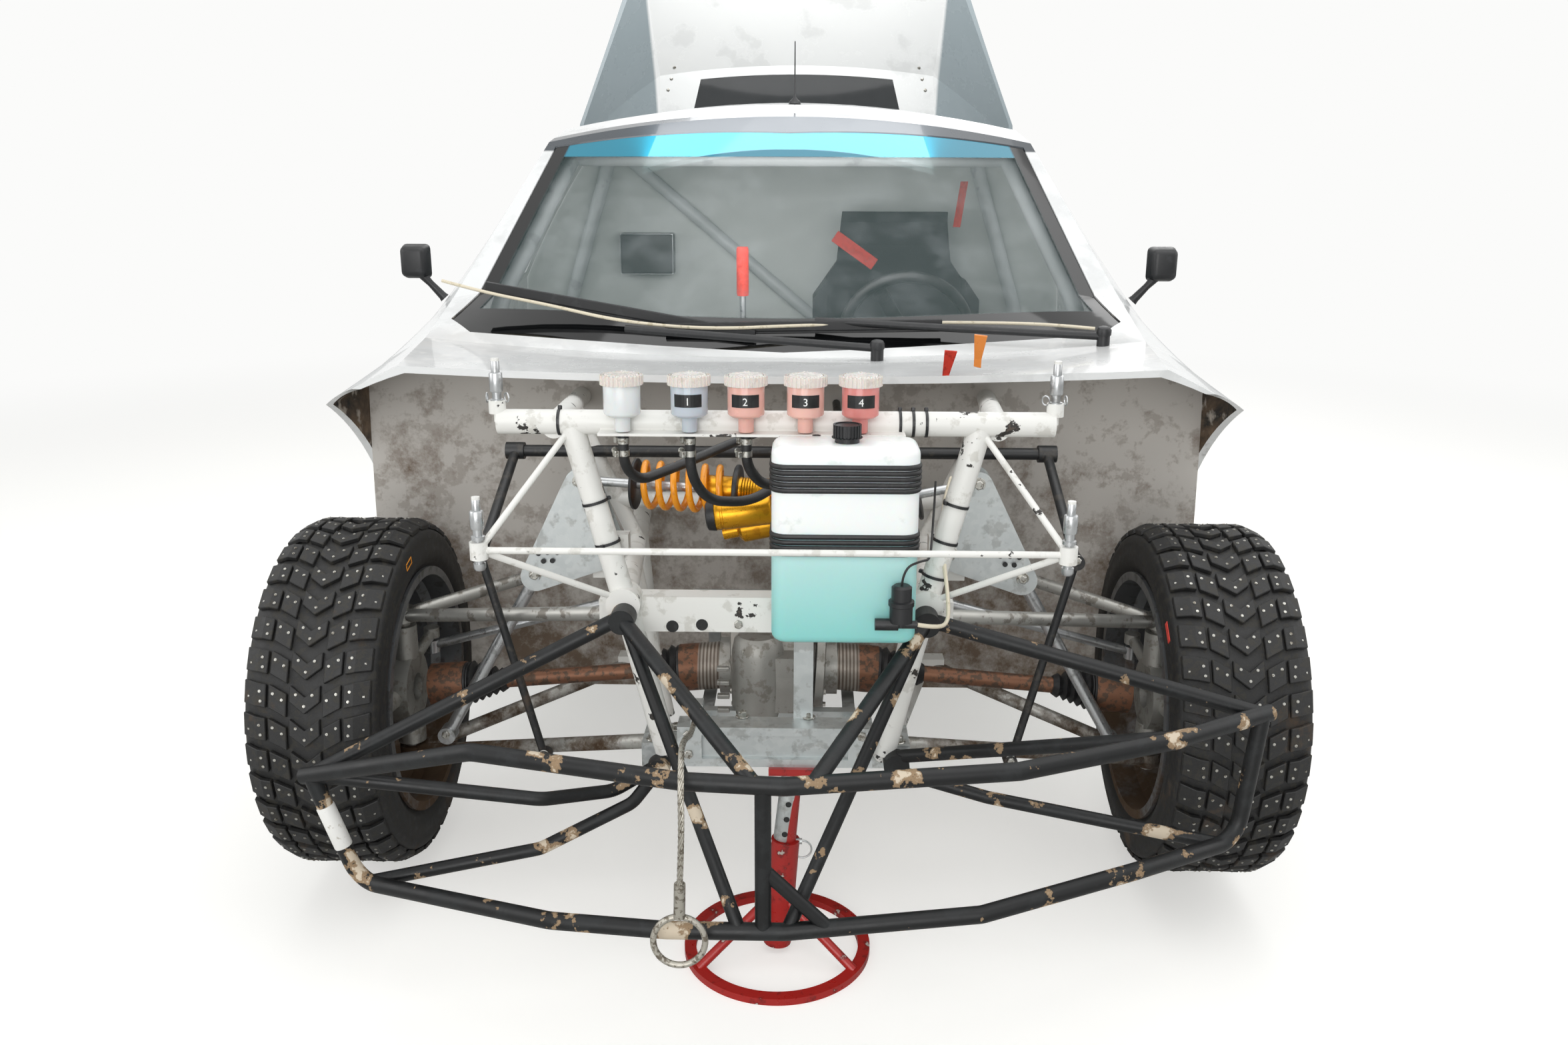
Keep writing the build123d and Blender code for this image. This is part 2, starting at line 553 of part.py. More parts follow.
ROCKER_STATION = -50.0
ROCKER_EYE = (345, ROCKER_STATION, 775)
ROCKER_PIVOT = (300, ROCKER_STATION, 650)
ROCKER_ROD = (430, ROCKER_STATION, 605)
with BuildPart() as front_rockers:
    for hand in (1, -1):
        for near in (-26, 20):
            with BuildSketch(section(ROCKER_STATION + near + 3)) as plate:
                with BuildLine():
                    Polyline(*[(hand * p[0], p[2]) for p in (ROCKER_EYE, ROCKER_PIVOT, ROCKER_ROD)],
                             close=True)
                make_face()
                offset(amount=26)
            extrude(amount=6)
        rod(both((345, ROCKER_STATION - 32, 775), hand), both((345, ROCKER_STATION + 26, 775), hand), 8)
        rod(both((430, ROCKER_STATION - 32, 605), hand), both((430, ROCKER_STATION + 26, 605), hand), 8)
        rod(both((300, ROCKER_STATION - 34, 650), hand), both((300, ROCKER_STATION + 30, 650), hand), 12)
    add(front_frame.part, mode=Mode.SUBTRACT)
    add(front_subframe.part, mode=Mode.SUBTRACT)
front_rockers.part.label = "front_rockers"
export_step(front_rockers.part, "parts/front_rockers.step")

with BuildPart() as front_pushrods:
    for hand in (1, -1):
        low, high = both((612, -58, 292), hand), both((430, ROCKER_STATION, 605), hand)
        rod(low, high, 11)
        boss(low, 16, 15)
    add(front_rockers.part, mode=Mode.SUBTRACT)
    add(front_wishbones.part, mode=Mode.SUBTRACT)
front_pushrods.part.label = "front_pushrods"
export_step(front_pushrods.part, "parts/front_pushrods.step")

# Coilovers across the nose: eye on the rocker, and the far eye on a bracket
SPRING_RADIUS = 44.0
SPRING_WIRE = 11.0
COILOVERS = [
    ((-345, ROCKER_STATION, 775), (78, -100, 762)),
    ((345, ROCKER_STATION, 775), (-100, -4, 668)),
]


with BuildPart() as front_dampers:
    for eye, far in COILOVERS:
        rod(eye, far, 9)
        rod(along(eye, far, 0.5), along(eye, far, 0.93), 24)
        rod(along(eye, far, 0.22), along(eye, far, 0.235), SPRING_RADIUS + 1)
        rod(along(eye, far, 0.64), along(eye, far, 0.66), SPRING_RADIUS + 1)
        boss(far, 14, 13)
    rod((-120, -150, 738), (-10, -150, 752), 26)
    rod((-40, -150, 748), (-40, -100, 757), 8)
    block((-112, 2, 668), (-88, 100, 688))
    add(front_rockers.part, mode=Mode.SUBTRACT)
    add(front_frame.part, mode=Mode.SUBTRACT)
front_dampers.part.label = "front_dampers"
export_step(front_dampers.part, "parts/front_dampers.step")

with BuildPart() as front_springs:
    for eye, far in COILOVERS:
        rod(along(eye, far, 0.237), along(eye, far, 0.637), SPRING_RADIUS)
        rod(along(eye, far, 0.2), along(eye, far, 0.7), SPRING_RADIUS - SPRING_WIRE, mode=Mode.SUBTRACT)
front_springs.part.label = "front_springs"
export_step(front_springs.part, "parts/front_springs.step")

with BuildPart() as anti_roll_bar:
    rod((-495, 100, 795), (495, 100, 795), 11)
    for hand in (1, -1):
        rod(both((495, 100, 795), hand), both((502, -160, 668), hand), 9)
        rod(both((478, 100, 795), hand), both((512, 100, 795), hand), 16)
        boss(both((502, -160, 668), hand), 13, 13)
        rod(both((502, -160, 668), hand), both((412, -162, 302), hand), 7)
        boss(both((410, -163, 302), hand), 12, 12)
    add(front_frame.part, mode=Mode.SUBTRACT)
    add(front_wishbones.part, mode=Mode.SUBTRACT)
anti_roll_bar.part.label = "anti_roll_bar"
export_step(anti_roll_bar.part, "parts/anti_roll_bar.step")

# Washer tank, fluid cups and their hoses
with BuildPart() as washer_tank:
    with BuildSketch(level(615)):
        with Locations((105, -374)):
            RectangleRounded(216, 96, 22)
    extrude(amount=300)
    rod((107, -380, 900), (107, -380, 942), 21)
    rod((178, -372, 650), (228, -372, 640), 22)
    block((-2, -332, 700), (200, -262, 712))
    block((60, -330, 600), (90, -296, 640))
    add(front_frame.part, mode=Mode.SUBTRACT)
    add(bumper_frame.part, mode=Mode.SUBTRACT)
washer_tank.part.label = "washer_tank"
export_step(washer_tank.part, "parts/washer_tank.step")

CUPS = (-229, -128, -43, 46, 128)
CUP_STATION = -322.0
with BuildPart() as fluid_cups:
    for x in CUPS:
        rod((x, CUP_STATION, 945), (x, CUP_STATION, 990), 28)
        rod((x, CUP_STATION, 986), (x, CUP_STATION, 1004), 33)
        rod((x, CUP_STATION, 916 + SEAL), (x, CUP_STATION, 947), 12)
fluid_cups.part.label = "fluid_cups"
export_step(fluid_cups.part, "parts/fluid_cups.step")

# Wipers, lying on the screen: where each post stands, its foot and head, and the arm's tip
WIPER_POST = 13.0
WIPER_ARM = 8.0
WIPERS = [
    ((190, 345), 915, 965, (-330, 425, 985)),
    ((655, 395), 930, 985, (65, 458, 1000)),
]
with BuildPart() as wipers:
    for pivot, foot, head, tip in WIPERS:
        rod((*pivot, foot), (*pivot, head), WIPER_POST)
        rod((*pivot, head - WIPER_ARM + 1), tip, WIPER_ARM)
    add(outer_form, mode=Mode.SUBTRACT)
wipers.part.label = "wipers"
export_step(wipers.part, "parts/wipers.step")

# Cabin
DASH_X = 660.0
SEAT_X = 300.0
SEAT_HALF = 235.0
COLUMN_TUBE = 24.0
COLUMN_BAR = 10.0
WHEEL_CENTRE = (SEAT_X, 1010, 905)
COLUMN_FOOT = (SEAT_X, 600, 760)
with BuildPart() as dashboard:
    with BuildSketch(side(-DASH_X)):
        with BuildLine():
            Polyline((600, 800), (600, 905), (760, 925), (880, 895), (890, 830), (840, 790), close=True)
        make_face()
    extrude(amount=2 * DASH_X)
    add(inner_form, mode=Mode.INTERSECT)
    add(roll_cage.part, mode=Mode.SUBTRACT)
    rod(along(COLUMN_FOOT, WHEEL_CENTRE, -0.3), along(COLUMN_FOOT, WHEEL_CENTRE, 1.0), COLUMN_TUBE,
        mode=Mode.SUBTRACT)
dashboard.part.label = "dashboard"
export_step(dashboard.part, "parts/dashboard.step")

with BuildPart() as seat:
    with BuildSketch(side(SEAT_X - SEAT_HALF)):
        with BuildLine():
            Polyline((1010, 262), (990, 380), (1020, 440), (1150, 420), (1290, 470), (1370, 900),
                     (1420, 1200),
                     (1560, 1200), (1570, 1100), (1480, 700), (1440, 330), (1420, 262), close=True)
        make_face()
    extrude(amount=2 * SEAT_HALF)
    with BuildSketch(side(SEAT_X - SEAT_HALF + 40)):
        with BuildLine():
            Polyline((900, 370), (1040, 352), (1360, 330), (1400, 420), (1450, 760), (1520, 1105),
                     (1530, 1170),
                     (1400, 1300), (900, 1300), close=True)
        make_face()
    extrude(amount=2 * SEAT_HALF - 80, mode=Mode.SUBTRACT)
    for hand in (1, -1):
        outline = [(240, 955), (165, 1060), (150, 1210), (260, 1210), (260, 955)]
        add(prism(section(0), [(SEAT_X + hand * x, z) for x, z in outline], -1700, -900), mode=Mode.SUBTRACT)
    for x in (SEAT_X - 200, SEAT_X + 180):
        block((x, 1020, FLOOR_Z), (x + 20, 1320, 264))
    add(roll_cage.part, mode=Mode.SUBTRACT)
seat.part.label = "seat"
export_step(seat.part, "parts/seat.step")

# Steering wheel on its column
with BuildPart() as steering_wheel:
    first, last = at(*COLUMN_FOOT), at(*WHEEL_CENTRE)
    with Locations(Plane(origin=last, z_dir=last - first)):
        Torus(160, 14)
        Cylinder(36, 26)
        Cylinder(COLUMN_BAR, 300, align=(Align.CENTER, Align.CENTER, Align.MAX))
        for turn in (0, 120, 240):
            with Locations(Location((0, 0, 0), (0, 0, 90 + turn))):
                with Locations((80, 0, 0)):
                    Box(150, 34, 6)
steering_wheel.part.label = "steering_wheel"
export_step(steering_wheel.part, "parts/steering_wheel.step")

with BuildPart() as cockpit_fittings:
    rod(COLUMN_FOOT, along(COLUMN_FOOT, WHEEL_CENTRE, 0.72), COLUMN_TUBE)
    rod(along(COLUMN_FOOT, WHEEL_CENTRE, 0.05), along(COLUMN_FOOT, WHEEL_CENTRE, 0.9),
        COLUMN_BAR + PIN_PLAY, mode=Mode.SUBTRACT)
    block((SEAT_X - 9, 626, 770), (SEAT_X + 9, 654, 816))
    rod((20, 1040, FLOOR_Z), (20, 980, 800), 12)
    rod((20, 990, 700), (20, 968, 930), 15)
    block((-60, 900, FLOOR_Z), (60, 1500, 300))
    block((-520, BULKHEAD_FRONT - 60, 1010), (-360, BULKHEAD_FRONT, 1130))
    rod((-450, 1450, 300), (-150, 1450, 300), 75)
    block((-400, 1400, FLOOR_Z), (-360, 1500, 240))
    block((-240, 1400, FLOOR_Z), (-200, 1500, 240))
    add(dashboard.part, mode=Mode.SUBTRACT)
    add(roll_cage.part, mode=Mode.SUBTRACT)
    add(floor_tub.part, mode=Mode.SUBTRACT)
cockpit_fittings.part.label = "cockpit_fittings"
export_step(cockpit_fittings.part, "parts/cockpit_fittings.step")

# Wheels: one row per wheel, with its name, side, station and height
WHEELS = [
    ("front_left", 1, 0.0, FRONT_WHEEL_Z),
    ("front_right", -1, 0.0, FRONT_WHEEL_Z),
    ("rear_left", 1, WHEELBASE, REAR_WHEEL_Z),
    ("rear_right", -1, WHEELBASE, REAR_WHEEL_Z),
]
HALF = TYRE_WIDTH / 2
for name, hand, station, height in WHEELS:
    centre = at(hand * TRACK_HALF, station, height)
    # Local x is the radius and local y runs outwards along the axle
    wheel_plane = Plane(origin=centre, x_dir=(0, 0, 1), z_dir=(0, hand, 0))
    spin_axis = Axis(centre, (hand, 0, 0))
    with BuildPart() as tyre:
        with BuildSketch(wheel_plane):
            with BuildLine():
                outer = TYRE_RADIUS
                Polyline((219.5, -HALF + 9), (234, -HALF + 9), (240, -HALF + 3), (262, -HALF), (290, -HALF + 3),
                         (310, -HALF + 14), (outer, -HALF + 34), (outer, HALF - 34), (310, HALF - 14),
                         (290, HALF - 3), (262, HALF), (240, HALF - 3), (234, HALF - 9), (219.5, HALF - 9),
                         close=True)
            make_face()
        revolve(axis=spin_axis)
    tyre.part.label = "tyre_" + name
    export_step(tyre.part, "parts/tyre_" + name + ".step")
    with BuildPart() as rim:
        with BuildSketch(wheel_plane):
            with BuildLine():
                Polyline((212, -HALF + 2), (228, -HALF + 2), (228, -HALF + 8.5), (219, -HALF + 8.5), (219, -60),
                         (206, -46), (206, 40), (219, 62), (219, HALF - 8.5), (228, HALF - 8.5), (228, HALF - 2),
                         (212, HALF - 2), (212, 66), (200, 46), (200, -50), (212, -66), close=True)
            make_face()
        revolve(axis=spin_axis)
        with BuildSketch(wheel_plane):
            with BuildLine():
                Polyline((0, 20), (75, 20), (75, 62), (40, 66), (40, 78), (0, 78), close=True)
            make_face()
        revolve(axis=spin_axis)
        with BuildSketch(wheel_plane):
            with BuildLine():
                Polyline((0, -58), (AXLE_BORE - PIN_PLAY, -58), (AXLE_BORE - PIN_PLAY, -24),
                         (HUB_RADIUS, -24), (HUB_RADIUS, -13), (DISC_RADIUS, -13),
                         (DISC_RADIUS, 13), (HUB_RADIUS, 13), (HUB_RADIUS, 20), (0, 20), close=True)
            make_face()
        revolve(axis=spin_axis)
        with Locations(Plane(origin=centre, x_dir=(0, 0, 1), z_dir=(hand, 0, 0))):
            with PolarLocations(131.5, SPOKES):
                with Locations((0, 0, 45)):
                    Box(143, 34, 28)
    rim.part.label = "rim_" + name
    export_step(rim.part, "parts/rim_" + name + ".step")

# Front knuckles with their steering arms and calipers
for name, hand in (("left", 1), ("right", -1)):
    with BuildPart() as knuckle:
        rod(both((KINGPIN_X, 0, 484), hand), both((KINGPIN_X, 0, 420), hand), 24)
        rod(both((KINGPIN_X, 0, 252), hand), both((KINGPIN_X, 0, 305), hand), 26)
        rod(both((KINGPIN_X - 18, 0, FRONT_WHEEL_Z), hand), both((KINGPIN_X + 24, 0, FRONT_WHEEL_Z), hand),
            66)
        rod(both((KINGPIN_X - 40, 0, FRONT_WHEEL_Z), hand), both((KINGPIN_X + 60, 0, FRONT_WHEEL_Z), hand),
            AXLE_BORE, mode=Mode.SUBTRACT)
        rod(both((KINGPIN_X, 0, 480), hand), both((KINGPIN_X, 0, 524), hand), BALL_PIN)
        rod(both((KINGPIN_X, 0, 256), hand), both((KINGPIN_X, 0, 210), hand), BALL_PIN)
        rod(both((KINGPIN_X, 50, 398), hand), both((KINGPIN_X - 10, STEER_ARM, TIE_EYE_Z + 28), hand), 11)
        rod(both((KINGPIN_X - 10, STEER_ARM, TIE_EYE_Z + 18), hand),
            both((KINGPIN_X - 10, STEER_ARM, TIE_EYE_Z + 38), hand), 15)
        rod(both((KINGPIN_X, 0, FRONT_WHEEL_Z), hand), both((KINGPIN_X + 20, -118, FRONT_WHEEL_Z), hand),
            18)
        rod(both((KINGPIN_X - 40, 0, FRONT_WHEEL_Z), hand), both((KINGPIN_X + 60, 0, FRONT_WHEEL_Z), hand),
            AXLE_BORE, mode=Mode.SUBTRACT)
        block(both((KINGPIN_X + 8, -182, FRONT_WHEEL_Z - 60), hand),
              both((TRACK_HALF + 26, -112, FRONT_WHEEL_Z + 60), hand))
        rod(both((TRACK_HALF - 13 - 6, 0, FRONT_WHEEL_Z), hand),
            both((TRACK_HALF + 13 + 6, 0, FRONT_WHEEL_Z), hand),
            DISC_RADIUS + 6, mode=Mode.SUBTRACT)
    knuckle.part.label = "knuckle_" + name
    export_step(knuckle.part, "parts/knuckle_" + name + ".step")

with BuildPart() as tie_rods:
    rod((-320, RACK_STATION, RACK_Z), (320, RACK_STATION, RACK_Z), RACK_BAR)
    for hand in (1, -1):
        inner, eye = both((320, RACK_STATION, RACK_Z),
                          hand), both((KINGPIN_X - 10, RACK_STATION, TIE_EYE_Z), hand)
        rod(both((306, RACK_STATION, RACK_Z), hand), both((334, RACK_STATION, RACK_Z), hand), 15)
        rod(inner, eye, 9)
        rod(both((KINGPIN_X - 10, RACK_STATION, TIE_EYE_Z - 13), hand),
            both((KINGPIN_X - 10, RACK_STATION, TIE_EYE_Z + 12), hand), 14)
tie_rods.part.label = "tie_rods"
export_step(tie_rods.part, "parts/tie_rods.step")

# Rear frame behind the bulkhead
BULKHEAD_REAR = BULKHEAD_FRONT + PANEL
TOWER = (430, WHEELBASE, 850)
REAR_LOW = (300, 2950, 268)
REAR_TOP = (420, 3010, 560)
with BuildPart() as rear_frame:
    for hand in (1, -1):
        rod(both((330, BULKHEAD_REAR, 250), hand), both(REAR_LOW, hand), RAIL_TUBE)
        rod(both((500, BULKHEAD_REAR, 900), hand), both(TOWER, hand), RAIL_TUBE)
        rod(both((505, BULKHEAD_REAR, 1360), hand), both(TOWER, hand), RAIL_TUBE)
        rod(both(TOWER, hand), both(REAR_TOP, hand), RAIL_TUBE)
        rod(both(REAR_TOP, hand), both(REAR_LOW, hand), RAIL_TUBE)
        rod(both((322, 2180, 257), hand), both(TOWER, hand), RAIL_TUBE - 4)
        rod(both((310, 2780, 264), hand), both(TOWER, hand), RAIL_TUBE - 4)
        rod(both((322, 2180, 257), hand), both((480, 1900, 886), hand), RAIL_TUBE - 4)
        rod(both((398, WHEELBASE, 850), hand), both((462, WHEELBASE, 850), hand), 34)
    rod(both(TOWER, 1), both(TOWER, -1), RAIL_TUBE)
    rod((440, 3010, 560), (-440, 3010, 560), RAIL_TUBE + 1)
    rod((322, 2950, 268), (-322, 2950, 268), RAIL_TUBE + 1)
    for hand in (1, -1):
        for x in (400, 446):
            block((hand * x, 3000, CLAM_HINGE_Z - 16),
                  (hand * (x + 8), CLAM_HINGE_STATION + 14, CLAM_HINGE_Z + 16))
        rod((hand * 400, CLAM_HINGE_STATION, CLAM_HINGE_Z), (hand * 454, CLAM_HINGE_STATION, CLAM_HINGE_Z),
            HINGE_PIN)
    block((-900, BULKHEAD_REAR - 80, 0), (900, BULKHEAD_REAR, 2000), mode=Mode.SUBTRACT)
rear_frame.part.label = "rear_frame"
export_step(rear_frame.part, "parts/rear_frame.step")

# Engine, gearbox, exhaust, radiator and tank, in the open bay
with BuildPart() as engine:
    block((-120, 1790, 300), (120, 2240, 600))
    block((-95, 1800, 600), (105, 2220, 740))
    block((-60, 1815, 740), (80, 2200, 775))
    block((-100, 1800, 268), (100, 2150, 300))
    rod((230, 1850, 690), (230, 2190, 690), 55)
    for station in (1875, 1965, 2055, 2145):
        rod((80, station, 660), (230, station, 690), 24)
        rod((-80, station, 650), (-170, station, 560), 18)
    rod((-170, 1860, 560), (-170, 2200, 560), 26)
    for hand in (1, -1):
        block((hand * 118, 2100, 300), (hand * 332, 2140, 318))
        block((hand * 308, 2100, 272), (hand * 332, 2140, 301))
    rod((0, 1770, 380), (0, 1792, 380), 80)
    rod((70, 1770, 520), (70, 1792, 520), 45)
    add(rear_frame.part, mode=Mode.SUBTRACT)
engine.part.label = "engine"
export_step(engine.part, "parts/engine.step")

with BuildPart() as gearbox:
    with BuildSketch(section(2240 + SEAL)):
        with Locations((0, 420)):
            Circle(165)
    with BuildSketch(section(2360)):
        with Locations((0, 400)):
            Circle(105)
    loft()
    block((-95, 2350, 300), (95, 2700, 500))
    rod((-140, WHEELBASE, 350), (140, WHEELBASE, 350), 60)
    rod((0, 2690, 390), (0, 2730, 390), 60)
gearbox.part.label = "gearbox"
export_step(gearbox.part, "parts/gearbox.step")

with BuildPart() as exhaust:
    add(bent_tube([(-170, 2190, 560), (-240, 2300, 420), (-240, 2560, 400), (-200, 2780, 420)], 28,
                  PIPE_BEND))
    rod((-200, 2760, 420), (-200, 2920, 420), 80)
    rod((-200, 2918, 420), (-200, 3140, 420), 30)
    rod((-200, 2925, 420), (-200, 3150, 420), 26, mode=Mode.SUBTRACT)
    add(engine.part, mode=Mode.SUBTRACT)
    add(gearbox.part, mode=Mode.SUBTRACT)
exhaust.part.label = "exhaust"
export_step(exhaust.part, "parts/exhaust.step")

with BuildPart() as radiator:
    block((-80, 2850, 560), (360, 2905, 830))
    rod((70, 2905, 695), (70, 2935, 695), 105)
    rod((70, 2908, 695), (70, 2960, 695), 95, mode=Mode.SUBTRACT)
    rod((265, 2905, 695), (265, 2935, 695), 85)
    rod((265, 2908, 695), (265, 2960, 695), 76, mode=Mode.SUBTRACT)
    rod((70, 2900, 695), (70, 2930, 695), 30)
    rod((265, 2900, 695), (265, 2930, 695), 30)
    for x in (-60, 320):
        block((x, 2903, 579), (x + 20, 3010, 600))
    add(rear_frame.part, mode=Mode.SUBTRACT)
radiator.part.label = "radiator"
export_step(radiator.part, "parts/radiator.step")

with BuildPart() as fuel_tank:
    block((-560, 1745, 240), (-200, 2080, 560))
    rod((-450, 1850, 556), (-450, 1850, 600), 40)
    add(rear_frame.part, mode=Mode.SUBTRACT)
fuel_tank.part.label = "fuel_tank"
export_step(fuel_tank.part, "parts/fuel_tank.step")

# Rear suspension
with BuildPart() as rear_uprights:
    for hand in (1, -1):
        block(both((660, 2460, 200), hand), both((705, 2540, 470), hand))
        rod(both((660, WHEELBASE, REAR_WHEEL_Z), hand), both((735, WHEELBASE, REAR_WHEEL_Z), hand), 62)
        rod(both((640, WHEELBASE, REAR_WHEEL_Z), hand), both((760, WHEELBASE, REAR_WHEEL_Z), hand),
            AXLE_BORE, mode=Mode.SUBTRACT)
        block(both((700, 2610, REAR_WHEEL_Z - 60), hand),
              both((TRACK_HALF + 26, 2682, REAR_WHEEL_Z + 60), hand))
        rod(both((690, WHEELBASE, REAR_WHEEL_Z), hand), both((712, 2620, REAR_WHEEL_Z), hand), 18)
        rod(both((640, WHEELBASE, REAR_WHEEL_Z), hand), both((760, WHEELBASE, REAR_WHEEL_Z), hand),
            AXLE_BORE, mode=Mode.SUBTRACT)
        rod(both((TRACK_HALF - 19, WHEELBASE, REAR_WHEEL_Z), hand),
            both((TRACK_HALF + 19, WHEELBASE, REAR_WHEEL_Z), hand),
            DISC_RADIUS + 6, mode=Mode.SUBTRACT)
rear_uprights.part.label = "rear_uprights"
export_step(rear_uprights.part, "parts/rear_uprights.step")

with BuildPart() as wishbones:
    add(front_wishbones.part)
    for hand in (1, -1):
        rod(both((668, 2480, 222), hand), both((315, 2300, 268), hand), ARM_TUBE)
        rod(both((668, 2520, 222), hand), both((308, 2700, 268), hand), ARM_TUBE)
        rod(both((668, 2480, 450), hand), both((345, 2330, 480), hand), UPPER_ARM)
        rod(both((668, 2520, 450), hand), both((345, 2670, 480), hand), UPPER_ARM)
        rod(both((560, 2425, 236), hand), both((560, 2575, 236), hand), 10)
        rod(both((648, 2470, 452), hand), both((648, 2530, 452), hand), 14)
    add(rear_frame.part, mode=Mode.SUBTRACT)
    add(rear_uprights.part, mode=Mode.SUBTRACT)
wishbones.part.label = "wishbones"
export_step(wishbones.part, "parts/wishbones.step")

with BuildPart() as rear_coilovers:
    for hand in (1, -1):
        low, high = both((560, 2560, 250), hand), both((440, 2525, 840), hand)
        rod(low, high, 10)
        rod(along(low, high, 0.08), along(low, high, 0.45), 24)
        rod(along(low, high, 0.30), along(low, high, 0.90), 38)
    add(rear_frame.part, mode=Mode.SUBTRACT)
    add(wishbones.part, mode=Mode.SUBTRACT)
rear_coilovers.part.label = "rear_coilovers"
export_step(rear_coilovers.part, "parts/rear_coilovers.step")

with BuildPart() as driveshafts:
    for hand in (1, -1):
        for station, start_x, start_z, end_z in ((0, 108, 410, 364), (WHEELBASE, 140, 350, REAR_WHEEL_Z)):
            inner, outer = both((start_x - 2, station, start_z), hand), both((652, station, end_z), hand)
            rod(inner, along(inner, outer, 0.14), 44)
            rod(inner, outer, 15)
            rod(along(inner, outer, 0.88), outer, 40)
    add(front_diff.part, mode=Mode.SUBTRACT)
    add(gearbox.part, mode=Mode.SUBTRACT)
driveshafts.part.label = "driveshafts"
export_step(driveshafts.part, "parts/driveshafts.step")

# Stand under the nose
with BuildPart() as front_stand:
    rod((30, STAND_STATION + 20, 351), (14, STAND_STATION + 20, 150), 17)
    rod((18, STAND_STATION + 20, 210), (4, STAND_STATION + 20, 12), 24)
    for turn in range(3):
        angle = radians(90 + 120 * turn)
        rod((4, STAND_STATION + 20, 110), (4 + 150 * cos(angle), STAND_STATION + 20 + 150 * sin(angle), 8),
            8)
    with BuildSketch(level(0)):
        with Locations((4, STAND_STATION + 20)):
            Circle(160)
            Circle(140, mode=Mode.SUBTRACT)
    extrude(amount=12)
    block((-10, STAND_STATION - 8, 340), (70, STAND_STATION + 46, 352))
    add(front_subframe.part, mode=Mode.SUBTRACT)
front_stand.part.label = "front_stand"
export_step(front_stand.part, "parts/front_stand.step")

# Rear wing on the clam's tail, and the lamps beside it, built closed
with BuildPart() as wing_closed:
    block((-560, 2940, 1150), (560, 3110, 1164))
    for hand in (1, -1):
        block((hand * 420, 2980, 1000), (hand * 430, 3070, 1151))
    add(outer_form, mode=Mode.SUBTRACT)
with BuildPart() as rear_wing:
    add(wing_closed.part.rotate(clam_axis, -CLAM_TIP))
rear_wing.part.label = "rear_wing"
export_step(rear_wing.part, "parts/rear_wing.step")

with BuildPart() as lamps_closed:
    for hand in (1, -1):
        block((hand * 560, 3100, 800), (hand * 700, 3150, 900))
    add(outer_form, mode=Mode.SUBTRACT)
with BuildPart() as tail_lamps:
    add(lamps_closed.part.rotate(clam_axis, -CLAM_TIP))
tail_lamps.part.label = "tail_lamps"
export_step(tail_lamps.part, "parts/tail_lamps.step")

for name, hand in (("left", 1), ("right", -1)):
    with BuildPart() as mirror_pod:
        block((hand * 843, 775, 1056), (hand * 913, 825, 1140))
        rod((hand * 806, 812, 1000), (hand * 866, 800, 1070), 12)
        add(outer_form, mode=Mode.SUBTRACT)
    mirror_pod.part.label = "mirror_" + name
    export_step(mirror_pod.part, "parts/mirror_" + name + ".step")


# Hoses from the cups to the bulkhead, held at both ends
HOSE_RADIUS = 8.0
HOSES = [
    [(-43, -322, 911), (-43, -322, 866), (-20, -290, 826), (45, -235, 822), (110, -120, 840),
     (150, 60, 850), (172, 250, 846),
     (172, RAIL_REAR, 846)],
    [(-128, -322, 911), (-128, -322, 850), (-105, -285, 800), (-40, -240, 787), (30, -150, 815),
     (80, 0, 838),
     (110, 200, 838), (110, RAIL_REAR, 838)],
    [(-229, -322, 911), (-229, -322, 862), (-210, -285, 832), (-150, -200, 840), (-70, -60, 850),
     (20, 150, 850),
     (40, 280, 838), (40, RAIL_REAR, 838)],
]
with BuildPart() as fluid_hoses:
    for points in HOSES:
        add(bent_tube(points, HOSE_RADIUS, bend_radii(points)))
fluid_hoses.part.label = "fluid_hoses"
export_step(fluid_hoses.part, "parts/fluid_hoses.step")

# Wire tow rope over the bumper's upper tube, with a sleeve and a loop at its free end
ROPE_RADIUS = 4.5
ROPE_ROUTE = [
    (-128, -292, 446),
    (-128, -350, 446),
    (-127, -425, 466),
    (-125, -510, 502),
    (-122, -585, 525),
    (-118, -632, 526),
    (-116, -664, 500),
    (-115, -674, 458),
    (-117, -669, 410),
    (-120, -664, 360),
]
LOOP_CENTRE = (-123, -659, 268)
LOOP_RADIUS = 32.0
rope_radii = bend_radii(ROPE_ROUTE)
print("rope radii", [round(radius) for radius in rope_radii])
with BuildPart() as tow_rope:
    add(bent_tube(ROPE_ROUTE, ROPE_RADIUS, rope_radii))
tow_rope.part.label = "tow_rope"
export_step(tow_rope.part, "parts/tow_rope.step")

with BuildPart() as rope_loop:
    rod((-120, -664, 360), (-122, -660, 306), 8)
    with Locations(Plane(origin=at(*LOOP_CENTRE), x_dir=(1, 0, 0), z_dir=(0, -1, 0.09))):
        Torus(LOOP_RADIUS + 4, ROPE_RADIUS)
    add(tow_rope.part, mode=Mode.SUBTRACT)
rope_loop.part.label = "rope_loop"
export_step(rope_loop.part, "parts/rope_loop.step")
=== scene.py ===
# %% [markdown]
# # Rally car with its nose off, as a lesson in Blender
# The car is a tube-framed rally car, opened up for service: the front bodywork is away, the rear
# clam is tipped back, and a red stand holds the nose up. Its solids come from a CAD model, which is
# loaded first and is never changed. Blender adds what the solids leave out, such as tread, coils,
# bolts, straps and labels, and gives every surface its finish.

# %% Load the frame
import bpy
from math import cos, pi, radians, sin, tau
from mathutils import Matrix, Vector


